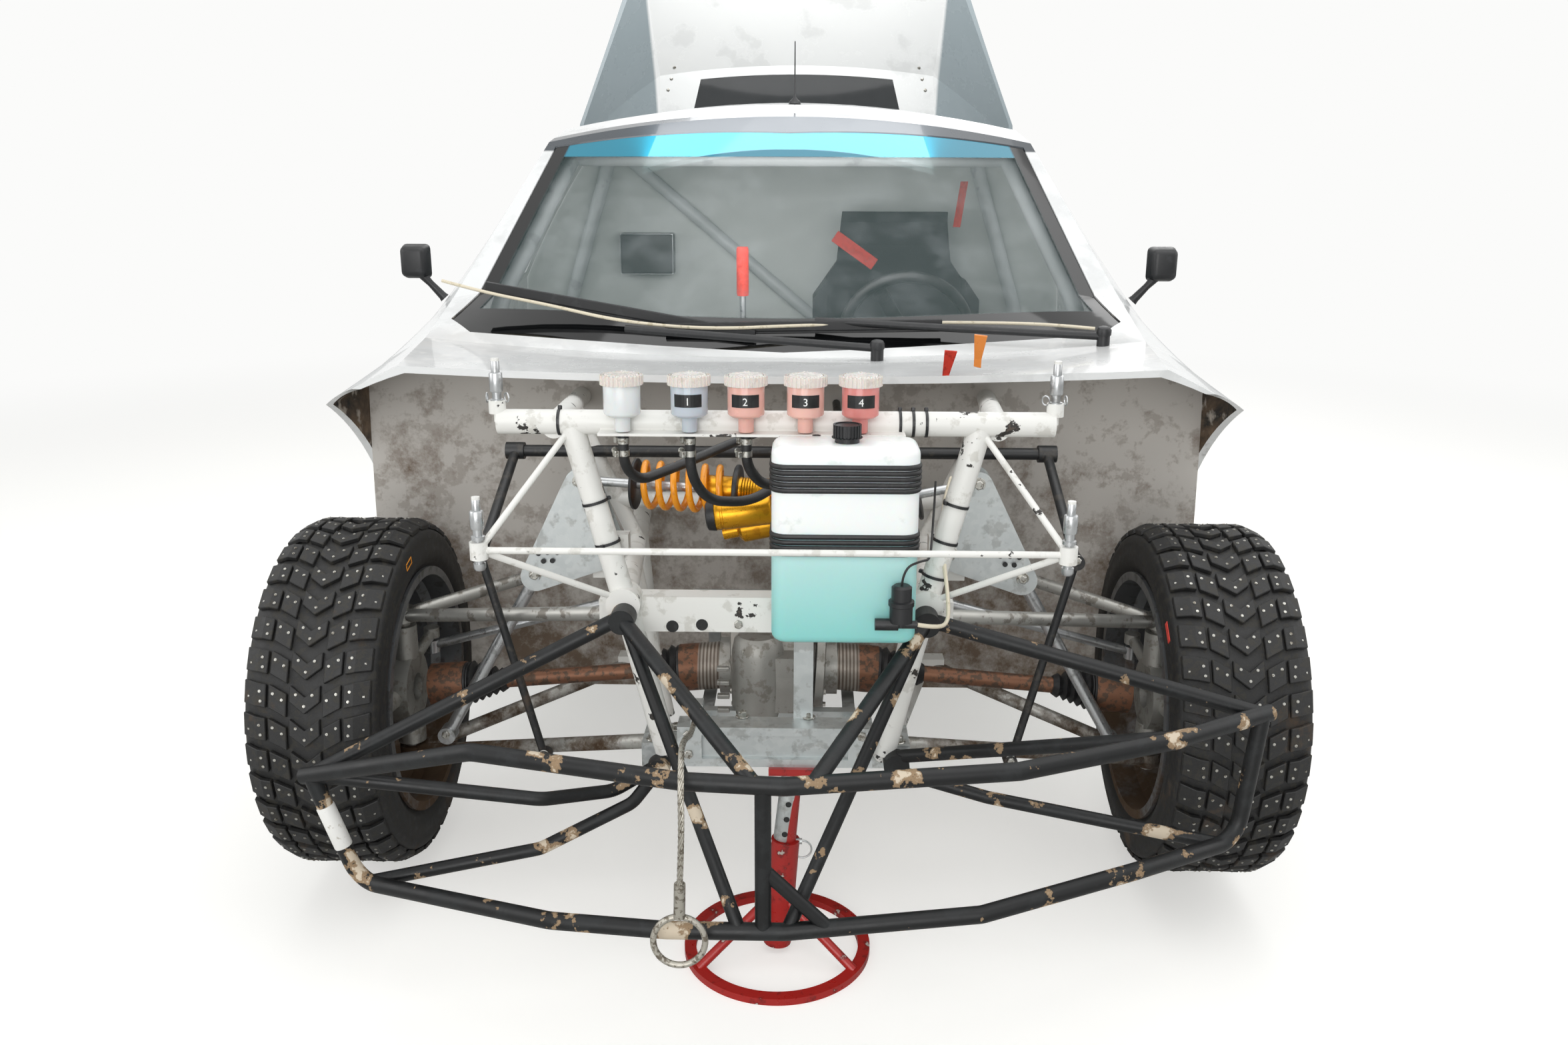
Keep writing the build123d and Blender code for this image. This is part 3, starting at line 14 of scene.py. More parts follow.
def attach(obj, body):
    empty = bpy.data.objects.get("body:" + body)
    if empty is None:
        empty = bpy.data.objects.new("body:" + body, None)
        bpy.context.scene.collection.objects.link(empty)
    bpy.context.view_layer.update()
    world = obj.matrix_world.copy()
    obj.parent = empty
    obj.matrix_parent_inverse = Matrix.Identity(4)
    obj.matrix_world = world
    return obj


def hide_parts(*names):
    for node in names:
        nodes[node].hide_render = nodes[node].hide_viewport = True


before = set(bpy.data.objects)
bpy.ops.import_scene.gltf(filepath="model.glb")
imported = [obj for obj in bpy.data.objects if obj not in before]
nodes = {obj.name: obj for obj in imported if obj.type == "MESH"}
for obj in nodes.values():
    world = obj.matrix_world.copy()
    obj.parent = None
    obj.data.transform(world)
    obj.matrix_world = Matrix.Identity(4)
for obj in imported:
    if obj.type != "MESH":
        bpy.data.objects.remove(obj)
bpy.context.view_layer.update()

# %% [markdown]
# Lengths along the car are easier to read when they start at the front axle. A workshop would
# call them stations. This helper turns a point in millimetres into Blender's metres.

# %% Places
FRONT_AXLE_Y = -1.443455


def place(x, station, height):
    """A point of the shared frame from millimetres: across, behind the front axle, and up."""
    return Vector((x / 1000, FRONT_AXLE_Y + station / 1000, height / 1000))


print("front axle", place(0, 0, 360))

# %% [markdown]
# The camera comes first, because all that follows is compared with the photograph through it.
# It stands two metres in front of the axle at chest height and looks 15.5 degrees down. Its
# turns are multiplied in order: about the vertical, then the tilt, then a trace of roll.

# %% Camera
lens = bpy.data.cameras.new("camera")
lens.lens = 28.08
lens.sensor_width = 36.0
lens.clip_end = 200
camera = bpy.data.objects.new("camera", lens)
bpy.context.scene.collection.objects.link(camera)
pan = Matrix.Rotation(radians(0.99), 4, "Z")
tilt = Matrix.Rotation(radians(90 - 15.5), 4, "X")
roll = Matrix.Rotation(radians(0.178), 4, "Z")
camera.matrix_world = Matrix.Translation(place(45.6, -2131, 1278)) @ pan @ tilt @ roll
bpy.context.scene.camera = camera
print("camera at", camera.location)

# %% [markdown]
# Every operator in Blender acts on all that is selected, so each piece begins with nothing
# selected. A finished piece has its place in its mesh and its object at the origin, so that a
# pattern painted through it stays still. These helpers do both, and hand the piece to a body
# of the CAD model, which is what it moves with.

# %% Handling helpers
def clear_selection():
    """Leave edit mode, with no object selected."""
    if bpy.context.object is not None and bpy.context.object.mode != "OBJECT":
        bpy.ops.object.mode_set(mode="OBJECT")
    bpy.ops.object.select_all(action="DESELECT")


def take(*pieces):
    """Select pieces, with the first one active."""
    clear_selection()
    for piece in pieces:
        piece.select_set(True)
    bpy.context.view_layer.objects.active = pieces[0]
    return pieces[0]


def named(name):
    """The object that the last operator made, under a name."""
    piece = bpy.context.active_object
    piece.name = name
    piece.data.name = name
    return piece


def bake_place(piece):
    """Put an object's place, turn and size into its mesh, and its origin at the world's."""
    take(piece)
    bpy.ops.object.transform_apply(location=True, rotation=True, scale=True)
    return piece


def apply_modifiers(piece):
    """Turn an object's modifiers into its mesh."""
    take(piece)
    for modifier in list(piece.modifiers):
        bpy.ops.object.modifier_apply(modifier=modifier.name)
    return piece


def rounded(piece, width, segments=2, angle=35):
    """Bevels the edges that are sharper than an angle."""
    modifier = piece.modifiers.new("edge", "BEVEL")
    modifier.width = width
    modifier.segments = segments
    modifier.limit_method = "ANGLE"
    modifier.angle_limit = radians(angle)
    return apply_modifiers(piece)


def smooth(piece, angle=35):
    """Shade smooth where faces meet at less than an angle."""
    take(piece)
    bpy.ops.object.shade_smooth_by_angle(angle=radians(angle))
    return piece


def joined(name, pieces):
    """Join pieces into one under a name."""
    pieces = list(pieces)
    take(*pieces)
    if len(pieces) > 1:
        bpy.ops.object.join()
    return named(name)


def copied(piece, matrix, name="copy"):
    """A copy with its own mesh, moved by a matrix."""
    twin = piece.copy()
    twin.data = piece.data.copy()
    twin.name = name
    bpy.context.scene.collection.objects.link(twin)
    twin.data.transform(matrix)
    return twin


def outwards(piece, merge=0.00001):
    """Merge doubled points and turn all faces outwards."""
    take(piece)
    bpy.ops.object.mode_set(mode="EDIT")
    bpy.ops.mesh.select_all(action="SELECT")
    bpy.ops.mesh.remove_doubles(threshold=merge)
    bpy.ops.mesh.normals_make_consistent(inside=False)
    bpy.ops.object.mode_set(mode="OBJECT")
    return piece


def drop(piece):
    """Delete a helper object."""
    bpy.data.objects.remove(piece)


def facing(direction, origin=(0, 0, 0), spin=0.0):
    """The matrix that points +Z along a direction, from an origin."""
    turn = Vector(direction).to_track_quat("Z", "Y").to_matrix().to_4x4()
    return Matrix.Translation(origin) @ turn @ Matrix.Rotation(spin, 4, "Z")


def hand_over(piece, body, finish):
    """Give a finished piece its finish, the body that it moves with and a colour slot."""
    bake_place(piece)
    piece.data.materials.clear()
    piece.data.materials.append(finish)
    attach(piece, body)
    print(piece.name, "faces", len(piece.data.polygons), "on", body)
    return piece


print("helpers ready")

# %% [markdown]
# The tow rope is a wire rope: six strands laid round a core, fixed to a lug on the subframe,
# over the bumper's upper tube, and down to a sleeve and a loop. A smooth NURBS line with the
# route's points as its control points gives the bend of real wire. Order 3 is set once the
# points exist, because on a shorter spline Blender would drop it to straight runs.

# %% Tow rope route
ROPE_DIAMETER = 0.009
ROPE_ROUTE = [
    (-128, -292, 446),
    (-128, -350, 446),
    (-127, -425, 466),
    (-125, -510, 502),
    (-122, -585, 525),
    (-118, -632, 526),
    (-116, -664, 500),
    (-115, -674, 458),
    (-117, -669, 410),
    (-120, -664, 360),
]


def curve_object(name, kind, points, bevel=0.0):
    """A curve through or near points, as thick as its bevel."""
    curve = bpy.data.curves.new(name, "CURVE")
    curve.dimensions = "3D"
    curve.resolution_u = 12
    curve.bevel_depth = bevel
    curve.bevel_resolution = 3
    curve.use_fill_caps = True
    spline = curve.splines.new(kind)
    spline.points.add(len(points) - 1)
    for point, co in zip(spline.points, points):
        point.co = (*co, 1)
    if kind == "NURBS":
        spline.order_u = 3
        spline.use_endpoint_u = True
    made = bpy.data.objects.new(name, curve)
    bpy.context.scene.collection.objects.link(made)
    return made


rope_line = curve_object("rope_line", "NURBS", [place(*point) for point in ROPE_ROUTE])
bpy.context.view_layer.update()
line_mesh = bpy.data.meshes.new_from_object(rope_line)
rope_path = [vertex.co.copy() for vertex in line_mesh.vertices]
drop(rope_line)
rope_run = sum((after - before).length for before, after in zip(rope_path, rope_path[1:]))
print("rope line points", len(rope_path), "length", rope_run)

# %% [markdown]
# Six strands wind round that line. Each strand's centre is the line moved sideways by a radius
# that turns as it goes, one turn in 55 mm, and a bevelled curve gives it its thickness. A
# thicker core fills the middle, as the rope's heart does.

# %% Tow rope strands
STRANDS = 6
STRAND_RADIUS = 0.0016
LAY_LENGTH = 0.055


def wound(name, path, offset, start, lay, bevel):
    """A strand that winds round a path at an offset, one turn in a lay."""
    points = []
    run = 0.0
    for here, following in zip(path, path[1:] + [None]):
        along = (following - here) if following is not None else along
        across = along.cross(Vector((1, 0.02, 0.01))).normalized()
        other = along.cross(across).normalized()
        angle = start + tau * run / lay
        points.append(here + offset * (cos(angle) * across + sin(angle) * other))
        run += along.length
    return curve_object(name, "POLY", points, bevel)


def as_mesh(piece):
    """Turn a curve or a text into a mesh."""
    take(piece)
    bpy.ops.object.convert(target="MESH")
    return bpy.context.active_object


strand_offset = ROPE_DIAMETER / 2 - STRAND_RADIUS
strands = []
for index in range(STRANDS):
    strand = wound("strand", rope_path, strand_offset, tau * index / STRANDS, LAY_LENGTH, STRAND_RADIUS)
    strands.append(as_mesh(strand))
strands.append(as_mesh(wound("core", rope_path, 0.0, 0.0, LAY_LENGTH, strand_offset - 0.0004)))
tow_rope = smooth(joined("tow_rope_strands", strands))
print("tow rope", len(tow_rope.data.polygons), "faces")

# %% [markdown]
# The stage is a pale studio: a wide floor and an even sky. A white background comes from what
# the camera sees of it, never from more light on the car, so the sky and floor ask which kind
# of ray they meet. Camera, mirror and glass rays get white, and the rest get plain soft light.

# %% Node helper and stage
def linear(code):
    """sRGB hex to Blender's linear colour."""
    parts = [int(code[i:i + 2], 16) / 255 for i in (1, 3, 5)]
    return [p / 12.92 if p <= 0.04045 else ((p + 0.055) / 1.055) ** 2.4 for p in parts] + [1.0]


def node(tree, kind, inputs=None, **settings):
    """Adds a node, with its settings and with its inputs set or linked."""
    made = tree.nodes.new(kind)
    for key, value in settings.items():
        setattr(made, key, value)
    for key, value in (inputs or {}).items():
        if isinstance(value, bpy.types.NodeSocket):
            tree.links.new(value, made.inputs[key])
        else:
            made.inputs[key].default_value = value
    return made


world = bpy.data.worlds.new("studio sky")
bpy.context.scene.world = world
world.use_nodes = True
sky = world.node_tree
sky.nodes.clear()
ray = node(sky, "ShaderNodeLightPath")
seen = node(sky, "ShaderNodeMath", {0: ray.outputs["Is Camera Ray"], 1: ray.outputs["Is Glossy Ray"]},
            operation="MAXIMUM")
seen = node(sky, "ShaderNodeMath", {0: seen.outputs[0], 1: ray.outputs["Is Transmission Ray"]},
            operation="MAXIMUM")
dim = node(sky, "ShaderNodeBackground", {"Color": linear("#EDF1F4"), "Strength": 0.45})
white = node(sky, "ShaderNodeBackground", {"Color": linear("#FBFBFA"), "Strength": 1.0})
both_skies = node(sky, "ShaderNodeMixShader", {0: seen.outputs[0], 1: dim.outputs[0], 2: white.outputs[0]})
node(sky, "ShaderNodeOutputWorld", {"Surface": both_skies.outputs[0]})

clear_selection()
bpy.ops.mesh.primitive_plane_add(size=60, location=(0, 0, 0))
floor = named("studio_floor")
pale = bpy.data.materials.new("pale floor")
pale.use_nodes = True
tree = pale.node_tree
tree.nodes.clear()
ray = node(tree, "ShaderNodeLightPath")
matt = node(tree, "ShaderNodeBsdfDiffuse", {"Color": linear("#D6D5D2")})
glow = node(tree, "ShaderNodeEmission", {"Color": linear("#F6F5F2"), "Strength": 0.5})
lit = node(tree, "ShaderNodeAddShader", {0: matt.outputs[0], 1: glow.outputs[0]})
reach = node(tree, "ShaderNodeVectorMath", {0: node(tree, "ShaderNodeTexCoord").outputs["Object"]},
             operation="LENGTH")
far_off = node(tree, "ShaderNodeMapRange", {0: reach.outputs["Value"], 1: 2.6, 2: 7.0},
               interpolation_type="SMOOTHSTEP")
sweep = node(tree, "ShaderNodeEmission", {"Color": linear("#FBFBFA"), "Strength": 1.0})
lit = node(tree, "ShaderNodeMixShader", {0: far_off.outputs[0], 1: lit.outputs[0], 2: sweep.outputs[0]})
mix = node(tree, "ShaderNodeMixShader", {0: ray.outputs["Is Camera Ray"], 1: matt.outputs[0],
                                         2: lit.outputs[0]})
node(tree, "ShaderNodeOutputMaterial", {"Surface": mix.outputs[0]})
floor.data.materials.append(pale)

LAMPS = [
    # name, place, aim, size in metres, power in watts
    ("soft_roof", (0.5, -1.5, 4.6), (0, -0.6, 0.5), 5.0, 112),
    ("soft_left", (-4.5, -2.5, 2.6), (0, -1.0, 0.6), 3.5, 66),
    ("soft_right", (4.5, -1.0, 2.8), (0, -0.5, 0.6), 3.5, 46),
    ("soft_back", (1.0, 5.0, 3.6), (0, 1.0, 0.9), 4.0, 90),
    ("soft_front", (-0.6, -6.0, 1.9), (0, -1.0, 0.7), 3.0, 105),
    ("cabin_fill", (0.0, -0.55, 1.27), (0.0, 0.2, 0.7), 0.7, 5),
    ("bay_fill", (0.0, 0.9, 1.7), (0.0, 1.6, 1.5), 1.2, 8),
]
for name, spot, aim, size, power in LAMPS:
    lamp = bpy.data.lights.new(name, "AREA")
    lamp.size = size
    lamp.energy = power
    holder = bpy.data.objects.new(name, lamp)
    bpy.context.scene.collection.objects.link(holder)
    holder.matrix_world = facing(Vector(spot) - Vector(aim), spot)
bpy.context.scene.view_settings.view_transform = "Standard"
print("stage ready")

# %% [markdown]
# Most finishes here are one ground colour, a second tone in patches, and dried mud, over a
# fine grain that catches the light. One function lays those on in that order. Sizes are in
# millimetres, and a noise texture's scale is one over the size of a patch in metres.

# %% Layered finish
def threshold(tree, value, low, high):
    """0 below the low value and 1 above the high one, with a ramp between."""
    return node(tree, "ShaderNodeMapRange", {0: value, 1: low, 2: high}, clamp=True).outputs[0]


def combine(tree, first, second, kind="MULTIPLY"):
    """One maths node on two values."""
    return node(tree, "ShaderNodeMath", {0: first, 1: second}, operation=kind, use_clamp=True).outputs[0]


def blended(tree, share, first, second):
    """The first colour mixed with a share of the second."""
    return node(tree, "ShaderNodeMix", {0: share, 6: first, 7: second}, data_type="RGBA").outputs[2]


def layered(title, ground, second, share=0.35, patch=60, rough=0.4, metal=0.0, grain=1.2, bump=0.15,
            mud="#5B4A3A", muddy=0.0, mud_top=900, extra=None, **constants):
    """A finish with a ground, a second tone on a share of it, mud up to a height, and a grain."""
    finish = bpy.data.materials.new(title)
    finish.use_nodes = True
    tree = finish.node_tree
    shader = tree.nodes["Principled BSDF"]
    where = node(tree, "ShaderNodeTexCoord").outputs["Object"]
    axes = node(tree, "ShaderNodeSeparateXYZ", {0: where})
    cloud = node(tree, "ShaderNodeTexNoise",
                 {"Vector": where, "Scale": 1000 / patch, "Detail": 7.0, "Roughness": 0.62})
    patches = threshold(tree, cloud.outputs[0], 0.72 - 0.5 * share, 0.76 - 0.45 * share)
    colour = blended(tree, patches, linear(ground), linear(second))
    fine = node(tree, "ShaderNodeTexNoise", {"Vector": where, "Scale": 1000 / grain, "Detail": 3.0})
    rough_range = {0: cloud.outputs[0], 1: 0.3, 2: 0.7, 3: rough - 0.07, 4: rough + 0.12}
    rough_now = node(tree, "ShaderNodeMapRange", rough_range).outputs[0]
    if extra is not None:
        colour, rough_now = extra(tree, where, axes, colour, rough_now)
    if muddy:
        splash = node(tree, "ShaderNodeTexNoise",
                      {"Vector": where, "Scale": 9.0, "Detail": 9.0, "Roughness": 0.72})
        low = node(tree, "ShaderNodeMapRange",
                   {0: axes.outputs[2], 1: mud_top / 1000, 2: 0.1, 3: 0.0, 4: muddy})
        mask = threshold(tree, combine(tree, splash.outputs[0], low.outputs[0], "ADD"), 0.66, 0.86)
        colour = blended(tree, mask, colour, linear(mud))
        rough_now = combine(tree, rough_now, combine(tree, mask, 0.5), "ADD")
    tree.links.new(colour, shader.inputs["Base Color"])
    tree.links.new(rough_now, shader.inputs["Roughness"])
    shader.inputs["Metallic"].default_value = metal
    for key, value in constants.items():
        shader.inputs[key.replace("_", " ")].default_value = value
    relief = node(tree, "ShaderNodeBump", {"Height": fine.outputs[0], "Strength": bump, "Distance": 0.0006})
    tree.links.new(relief.outputs[0], shader.inputs["Normal"])
    return finish


print("layered finish ready")

# %% [markdown]
# The body panels are composite with gloss white two-pack paint. Rally stages throw mud into the
# wheel arches, so the faces that look inwards near the nose are smeared brown and black. The
# normal tells an inner face from an outer one: across the car, it points back to the middle.

# %% Body paint
def arch_mud(tree, where, axes, colour, rough):
    """Mud on the sides that face inwards by the front wheels."""
    normal = node(tree, "ShaderNodeSeparateXYZ", {0: node(tree, "ShaderNodeNewGeometry").outputs["Normal"]})
    facing_in = node(tree, "ShaderNodeMath", {0: axes.outputs[0], 1: normal.outputs[0]}, operation="MULTIPLY")
    inner = node(tree, "ShaderNodeMapRange", {0: facing_in.outputs[0], 1: 0.0, 2: -0.25}).outputs[0]
    ahead = node(tree, "ShaderNodeMapRange",
                 {0: axes.outputs[1], 1: FRONT_AXLE_Y + 0.66, 2: FRONT_AXLE_Y + 0.5}).outputs[0]
    smear = node(tree, "ShaderNodeTexNoise",
                 {"Vector": where, "Scale": 7.0, "Detail": 8.0, "Roughness": 0.7, "Distortion": 0.6})
    brown = blended(tree, threshold(tree, smear.outputs[0], 0.42, 0.62), linear("#17130F"), linear("#7A634C"))
    spatter = node(tree, "ShaderNodeTexNoise", {"Vector": where, "Scale": 26.0, "Detail": 6.0})
    brown = blended(tree, threshold(tree, spatter.outputs[0], 0.56, 0.66), brown, linear("#C9C0B4"))
    mask = combine(tree, inner, ahead)
    return blended(tree, mask, colour, brown), combine(tree, rough, combine(tree, mask, 0.5), "ADD")


def roof_band(tree, where, axes, colour, rough):
    """The dark band across the roof's front edge, then the arches' mud."""
    high = threshold(tree, axes.outputs[2], 1.352, 1.356)
    forward = node(tree, "ShaderNodeMapRange",
                   {0: axes.outputs[1], 1: FRONT_AXLE_Y + 1.106, 2: FRONT_AXLE_Y + 1.1}).outputs[0]
    colour = blended(tree, combine(tree, high, forward), colour, linear("#3A4046"))
    return arch_mud(tree, where, axes, colour, rough)


def clam_flank_shade(tree, where, axes, colour, rough):
    """Painted shade: grey on the clam's white flanks, read from how far out a point is."""
    outer = node(tree, "ShaderNodeMath", {0: axes.outputs[0]}, operation="ABSOLUTE").outputs[0]
    band = threshold(tree, outer, 0.565, 0.575)
    return blended(tree, band, colour, linear("#8D979B")), rough


FINISH = {}
FINISH["body"] = layered("gloss white two-pack paint", "#E6E7E6", "#DADBDA", 0.4, 180, 0.22, grain=6,
                         bump=0.04, muddy=0.42, mud_top=950, extra=roof_band, Coat_Weight=0.35)
FINISH["door"] = layered("gloss white door paint", "#E6E7E6", "#DADBDA", 0.4, 180, 0.22, grain=6, bump=0.04,
                         muddy=0.42, mud_top=760, Coat_Weight=0.35)
# The clam is white all over; the grey on its flanks is painted shade.
FINISH["clam"] = layered("white clam paint with painted flank shade", "#E4E5E4", "#D9DAD9", 0.4, 200, 0.24, grain=6, bump=0.04,
                         extra=clam_flank_shade, Coat_Weight=0.3)


def nose_shade_and_dirt(tree, where, axes, colour, rough):
    """The darkened ground, painted shade, with mud splashes, on the side that faces the nose, and a lighter
    grey in the cabin.
    """
    ahead = node(tree, "ShaderNodeMapRange",
                 {0: axes.outputs[1], 1: FRONT_AXLE_Y + 0.48, 2: FRONT_AXLE_Y + 0.42}).outputs[0]
    splash = node(tree, "ShaderNodeTexNoise",
                  {"Vector": where, "Scale": 9.0, "Detail": 9.0, "Roughness": 0.72})
    low = node(tree, "ShaderNodeMapRange", {0: axes.outputs[2], 1: 1.15, 2: 0.1, 3: 0.0, 4: 0.34})
    mask = threshold(tree, combine(tree, splash.outputs[0], low.outputs[0], "ADD"), 0.66, 0.86)
    shade_and_mud = blended(tree, mask, colour, linear("#6F5F50"))
    # The nose side keeps the ground, darkened as painted shade, with real mud on it.
    seen_colour = blended(tree, ahead, linear("#CBCFCC"), shade_and_mud)
    return seen_colour, combine(tree, rough, combine(tree, mask, 0.3), "ADD")


# The panels are white: their grey beige ground is painted shade, and the mud on it is real.
FINISH["panel"] = layered("satin white composite panel", "#BFBAB3", "#A8A199", 0.35, 45, 0.5, grain=3,
                          bump=0.12, extra=nose_shade_and_dirt)
print("body finishes", len(FINISH))

# %% [markdown]
# Powder coat is a thick baked plastic skin over steel tube. Stones chip it, and the bare steel
# then rusts: black scars on the white frame, bare metal and rust on the black bumper. The scars
# follow a coarser noise, so they lie in patches where knocks gather.

# %% Frame coatings
def scarred(scar, deep, size, low, high):
    """Scars of one tone with a deeper tone in their middle."""
    def add_scars(tree, where, axes, colour, rough):
        knocks = node(tree, "ShaderNodeTexNoise",
                      {"Vector": where, "Scale": 1000 / size, "Detail": 5.0, "Roughness": 0.6})
        mask = threshold(tree, knocks.outputs[0], low, low + 0.012)
        inside = threshold(tree, knocks.outputs[0], high, high + 0.02)
        colour = blended(tree, mask, colour, linear(scar))
        scarred_colour = blended(tree, inside, colour, linear(deep))
        return scarred_colour, combine(tree, rough, combine(tree, mask, 0.25), "ADD")
    return add_scars


FINISH["frame_white"] = layered("white powder coat on tube", "#E3E2DD", "#CFCDC6", 0.3, 40, 0.38, grain=3,
                                bump=0.12, extra=scarred("#2A2724", "#4A4038", 42, 0.64, 0.69))
FINISH["frame_black"] = layered("black powder coat worn to steel", "#0F1011", "#191B1C", 0.4, 50, 0.42,
                                grain=2.5, bump=0.3, Specular_IOR_Level=0.35,
                                extra=scarred("#8E775C", "#C9BBA6", 62, 0.585, 0.625))
FINISH["cage"] = layered("satin grey cage paint", "#C4C8C8", "#AEB2B2", 0.3, 120, 0.42, grain=4, bump=0.05)
FINISH["arm"] = layered("zinc plated arm, dusty", "#A9A8A3", "#7E7A73", 0.4, 30, 0.42, metal=0.75, grain=2,
                        bump=0.2, muddy=0.45, mud_top=600)
FINISH["arm_black"] = layered("black satin steel", "#1B1C1D", "#35322E", 0.35, 26, 0.4, grain=2, bump=0.2,
                              muddy=0.2)
FINISH["stand"] = layered("red gloss enamel, scratched", "#A8201B", "#7C1512", 0.3, 30, 0.3, grain=3,
                          bump=0.15, extra=scarred("#B9B3AA", "#8B8177", 30, 0.66, 0.72))
print("frame finishes", len(FINISH))

# %% [markdown]
# Bare metals differ by how they were made. Zinc freezes in flat crystals called spangle, which
# a cell texture gives. Castings keep the sand's grain. Machined parts are smooth with dirt in
# their corners, and a driveshaft left bare goes brown.

# %% Bare metals
def spangle(tree, where, axes, colour, rough):
    """The crystals that zinc shows where it set."""
    cells = node(tree, "ShaderNodeTexVoronoi", {"Vector": where, "Scale": 1000 / 9})
    tone = node(tree, "ShaderNodeSeparateColor", {0: cells.outputs["Color"]}).outputs[0]
    light = combine(tree, tone, 0.16)
    spangled = blended(tree, light, colour, linear("#E8E8E4"))
    return spangled, combine(tree, rough, combine(tree, tone, 0.12), "ADD")


FINISH["zinc"] = layered("hot dip galvanised steel", "#BBC0C0", "#A3A6A5", 0.35, 40, 0.36, metal=0.8,
                         grain=3, bump=0.15, muddy=0.2, mud_top=620, extra=spangle)
FINISH["casting"] = layered("sand cast aluminium", "#A09F9A", "#8A8780", 0.35, 22, 0.46, metal=0.75,
                            grain=1.4, bump=0.5, muddy=0.16, mud_top=650)
FINISH["engine"] = layered("cast engine alloy", "#7E7F7F", "#565552", 0.4, 40, 0.48, metal=0.7, grain=1.4,
                           bump=0.5)


RINGS_PER_METRE = 150.0
BRIGHT_TO = 0.150


def bright_joints(tree, where, axes, colour, rough):
    """The joints by the differential are turned bright, and only the shafts rust."""
    across = node(tree, "ShaderNodeMath", {0: axes.outputs[0]}, operation="ABSOLUTE").outputs[0]
    inner = node(tree, "ShaderNodeMapRange", {0: across, 1: BRIGHT_TO, 2: BRIGHT_TO - 0.004}).outputs[0]
    rings = node(tree, "ShaderNodeMath", {0: across, 1: RINGS_PER_METRE}, operation="MULTIPLY").outputs[0]
    ring = node(tree, "ShaderNodeMath", {0: rings}, operation="FRACT").outputs[0]
    steel = blended(tree, threshold(tree, ring, 0.45, 0.55), linear("#9B948B"), linear("#6A5F56"))
    return blended(tree, inner, colour, steel), rough


FINISH["rust"] = layered("lightly rusted steel", "#7A5540", "#57463A", 0.45, 12, 0.44, metal=0.6, grain=1.5,
                         bump=0.4, muddy=0.12, mud_top=600, extra=bright_joints)
FINISH["machined"] = layered("machined aluminium", "#B9BBBC", "#9A9B9A", 0.3, 24, 0.3, metal=0.9, grain=1.2,
                             bump=0.12, muddy=0.2, mud_top=500)
FINISH["exhaust"] = layered("heat tinted stainless", "#9C8C79", "#5C5566", 0.4, 90, 0.32, metal=0.9,
                            grain=2, bump=0.1)
FINISH["gold"] = layered("gold anodised aluminium", "#D79A1E", "#BE8214", 0.3, 26, 0.28, metal=0.75,
                         grain=2, bump=0.06)
FINISH["spring"] = layered("yellow orange spring enamel", "#F29A12", "#D97F0A", 0.25, 24, 0.3, grain=2.5,
                           bump=0.08, Coat_Weight=0.3)
FINISH["rope"] = layered("galvanised wire rope", "#A9A59B", "#6E675C", 0.4, 8, 0.42, metal=0.75, grain=1.2,
                         bump=0.2)
FINISH["bolt"] = layered("zinc plated bolt", "#B7B6B0", "#7F7A70", 0.4, 6, 0.32, metal=0.9, grain=1,
                         bump=0.15)
print("with bare metals", len(FINISH))

# %% [markdown]
# Tyre rubber is matt black with dust in the grooves and a lighter scuffed face. Plastics and
# hoses are smoother. The washer tank is blown polyethylene, milky and lit from within, so it
# has a little subsurface light, and the washer fluid shows through it, paler near its surface.

# %% Rubbers and plastics
FLUID_TOP = 0.800


def tank_fluid(tree, where, axes, colour, rough):
    """Washer fluid that shows through the tank below a wavy edge, darker further down."""
    wave = node(tree, "ShaderNodeTexNoise", {"Vector": where, "Scale": 14.0, "Detail": 2.0})
    edge = node(tree, "ShaderNodeMath", {0: combine(tree, wave.outputs[0], 0.02), 1: axes.outputs[2]},
                operation="ADD").outputs[0]
    mask = node(tree, "ShaderNodeMapRange", {0: edge, 1: FLUID_TOP - 0.002, 2: FLUID_TOP - 0.012}).outputs[0]
    depth = node(tree, "ShaderNodeMapRange", {0: axes.outputs[2], 1: FLUID_TOP, 2: 0.63}).outputs[0]
    fluid = blended(tree, depth, linear("#C3E4E1"), linear("#8ED3CE"))
    return blended(tree, mask, colour, fluid), rough


FINISH["rubber"] = layered("studded tyre rubber", "#161616", "#26241F", 0.4, 14, 0.6, grain=1.6, bump=0.5,
                           muddy=0.12, mud_top=700)
FINISH["hose"] = layered("black rubber hose", "#131314", "#222223", 0.35, 14, 0.45, grain=2, bump=0.2)
FINISH["plastic"] = layered("moulded black plastic", "#17181A", "#242527", 0.3, 30, 0.42, grain=1.5,
                            bump=0.25)
FINISH["tank"] = layered("blown polyethylene tank", "#EDF0EE", "#DFE3E0", 0.3, 60, 0.34, grain=5, bump=0.06,
                         extra=tank_fluid, Subsurface_Weight=0.25, Subsurface_Scale=0.02)
FINISH["lid"] = layered("clear polypropylene lid", "#DDD5CE", "#CFC6BE", 0.3, 12, 0.24, grain=3, bump=0.05,
                        Subsurface_Weight=0.3, Subsurface_Scale=0.01)
FINISH["rim"] = layered("grey painted alloy rim", "#6F7173", "#5A5A59", 0.35, 30, 0.36, metal=0.7, grain=2,
                        bump=0.15, muddy=0.45, mud_top=500)
FINISH["lip"] = layered("polished rim lip, dusty", "#B4B4B1", "#8B867E", 0.4, 20, 0.26, metal=0.9,
                        grain=1.6, bump=0.1)
FINISH["seat"] = layered("black seat cloth over shell", "#191A1C", "#232427", 0.4, 20, 0.8, grain=2, bump=0.5)
FINISH["red_web"] = layered("red polyester webbing", "#C8321E", "#A82413", 0.4, 8, 0.7, grain=2, bump=0.5)
FINISH["lamp"] = layered("red lamp lens", "#7A0F0F", "#5C0A0A", 0.3, 30, 0.12, grain=6, bump=0.1)
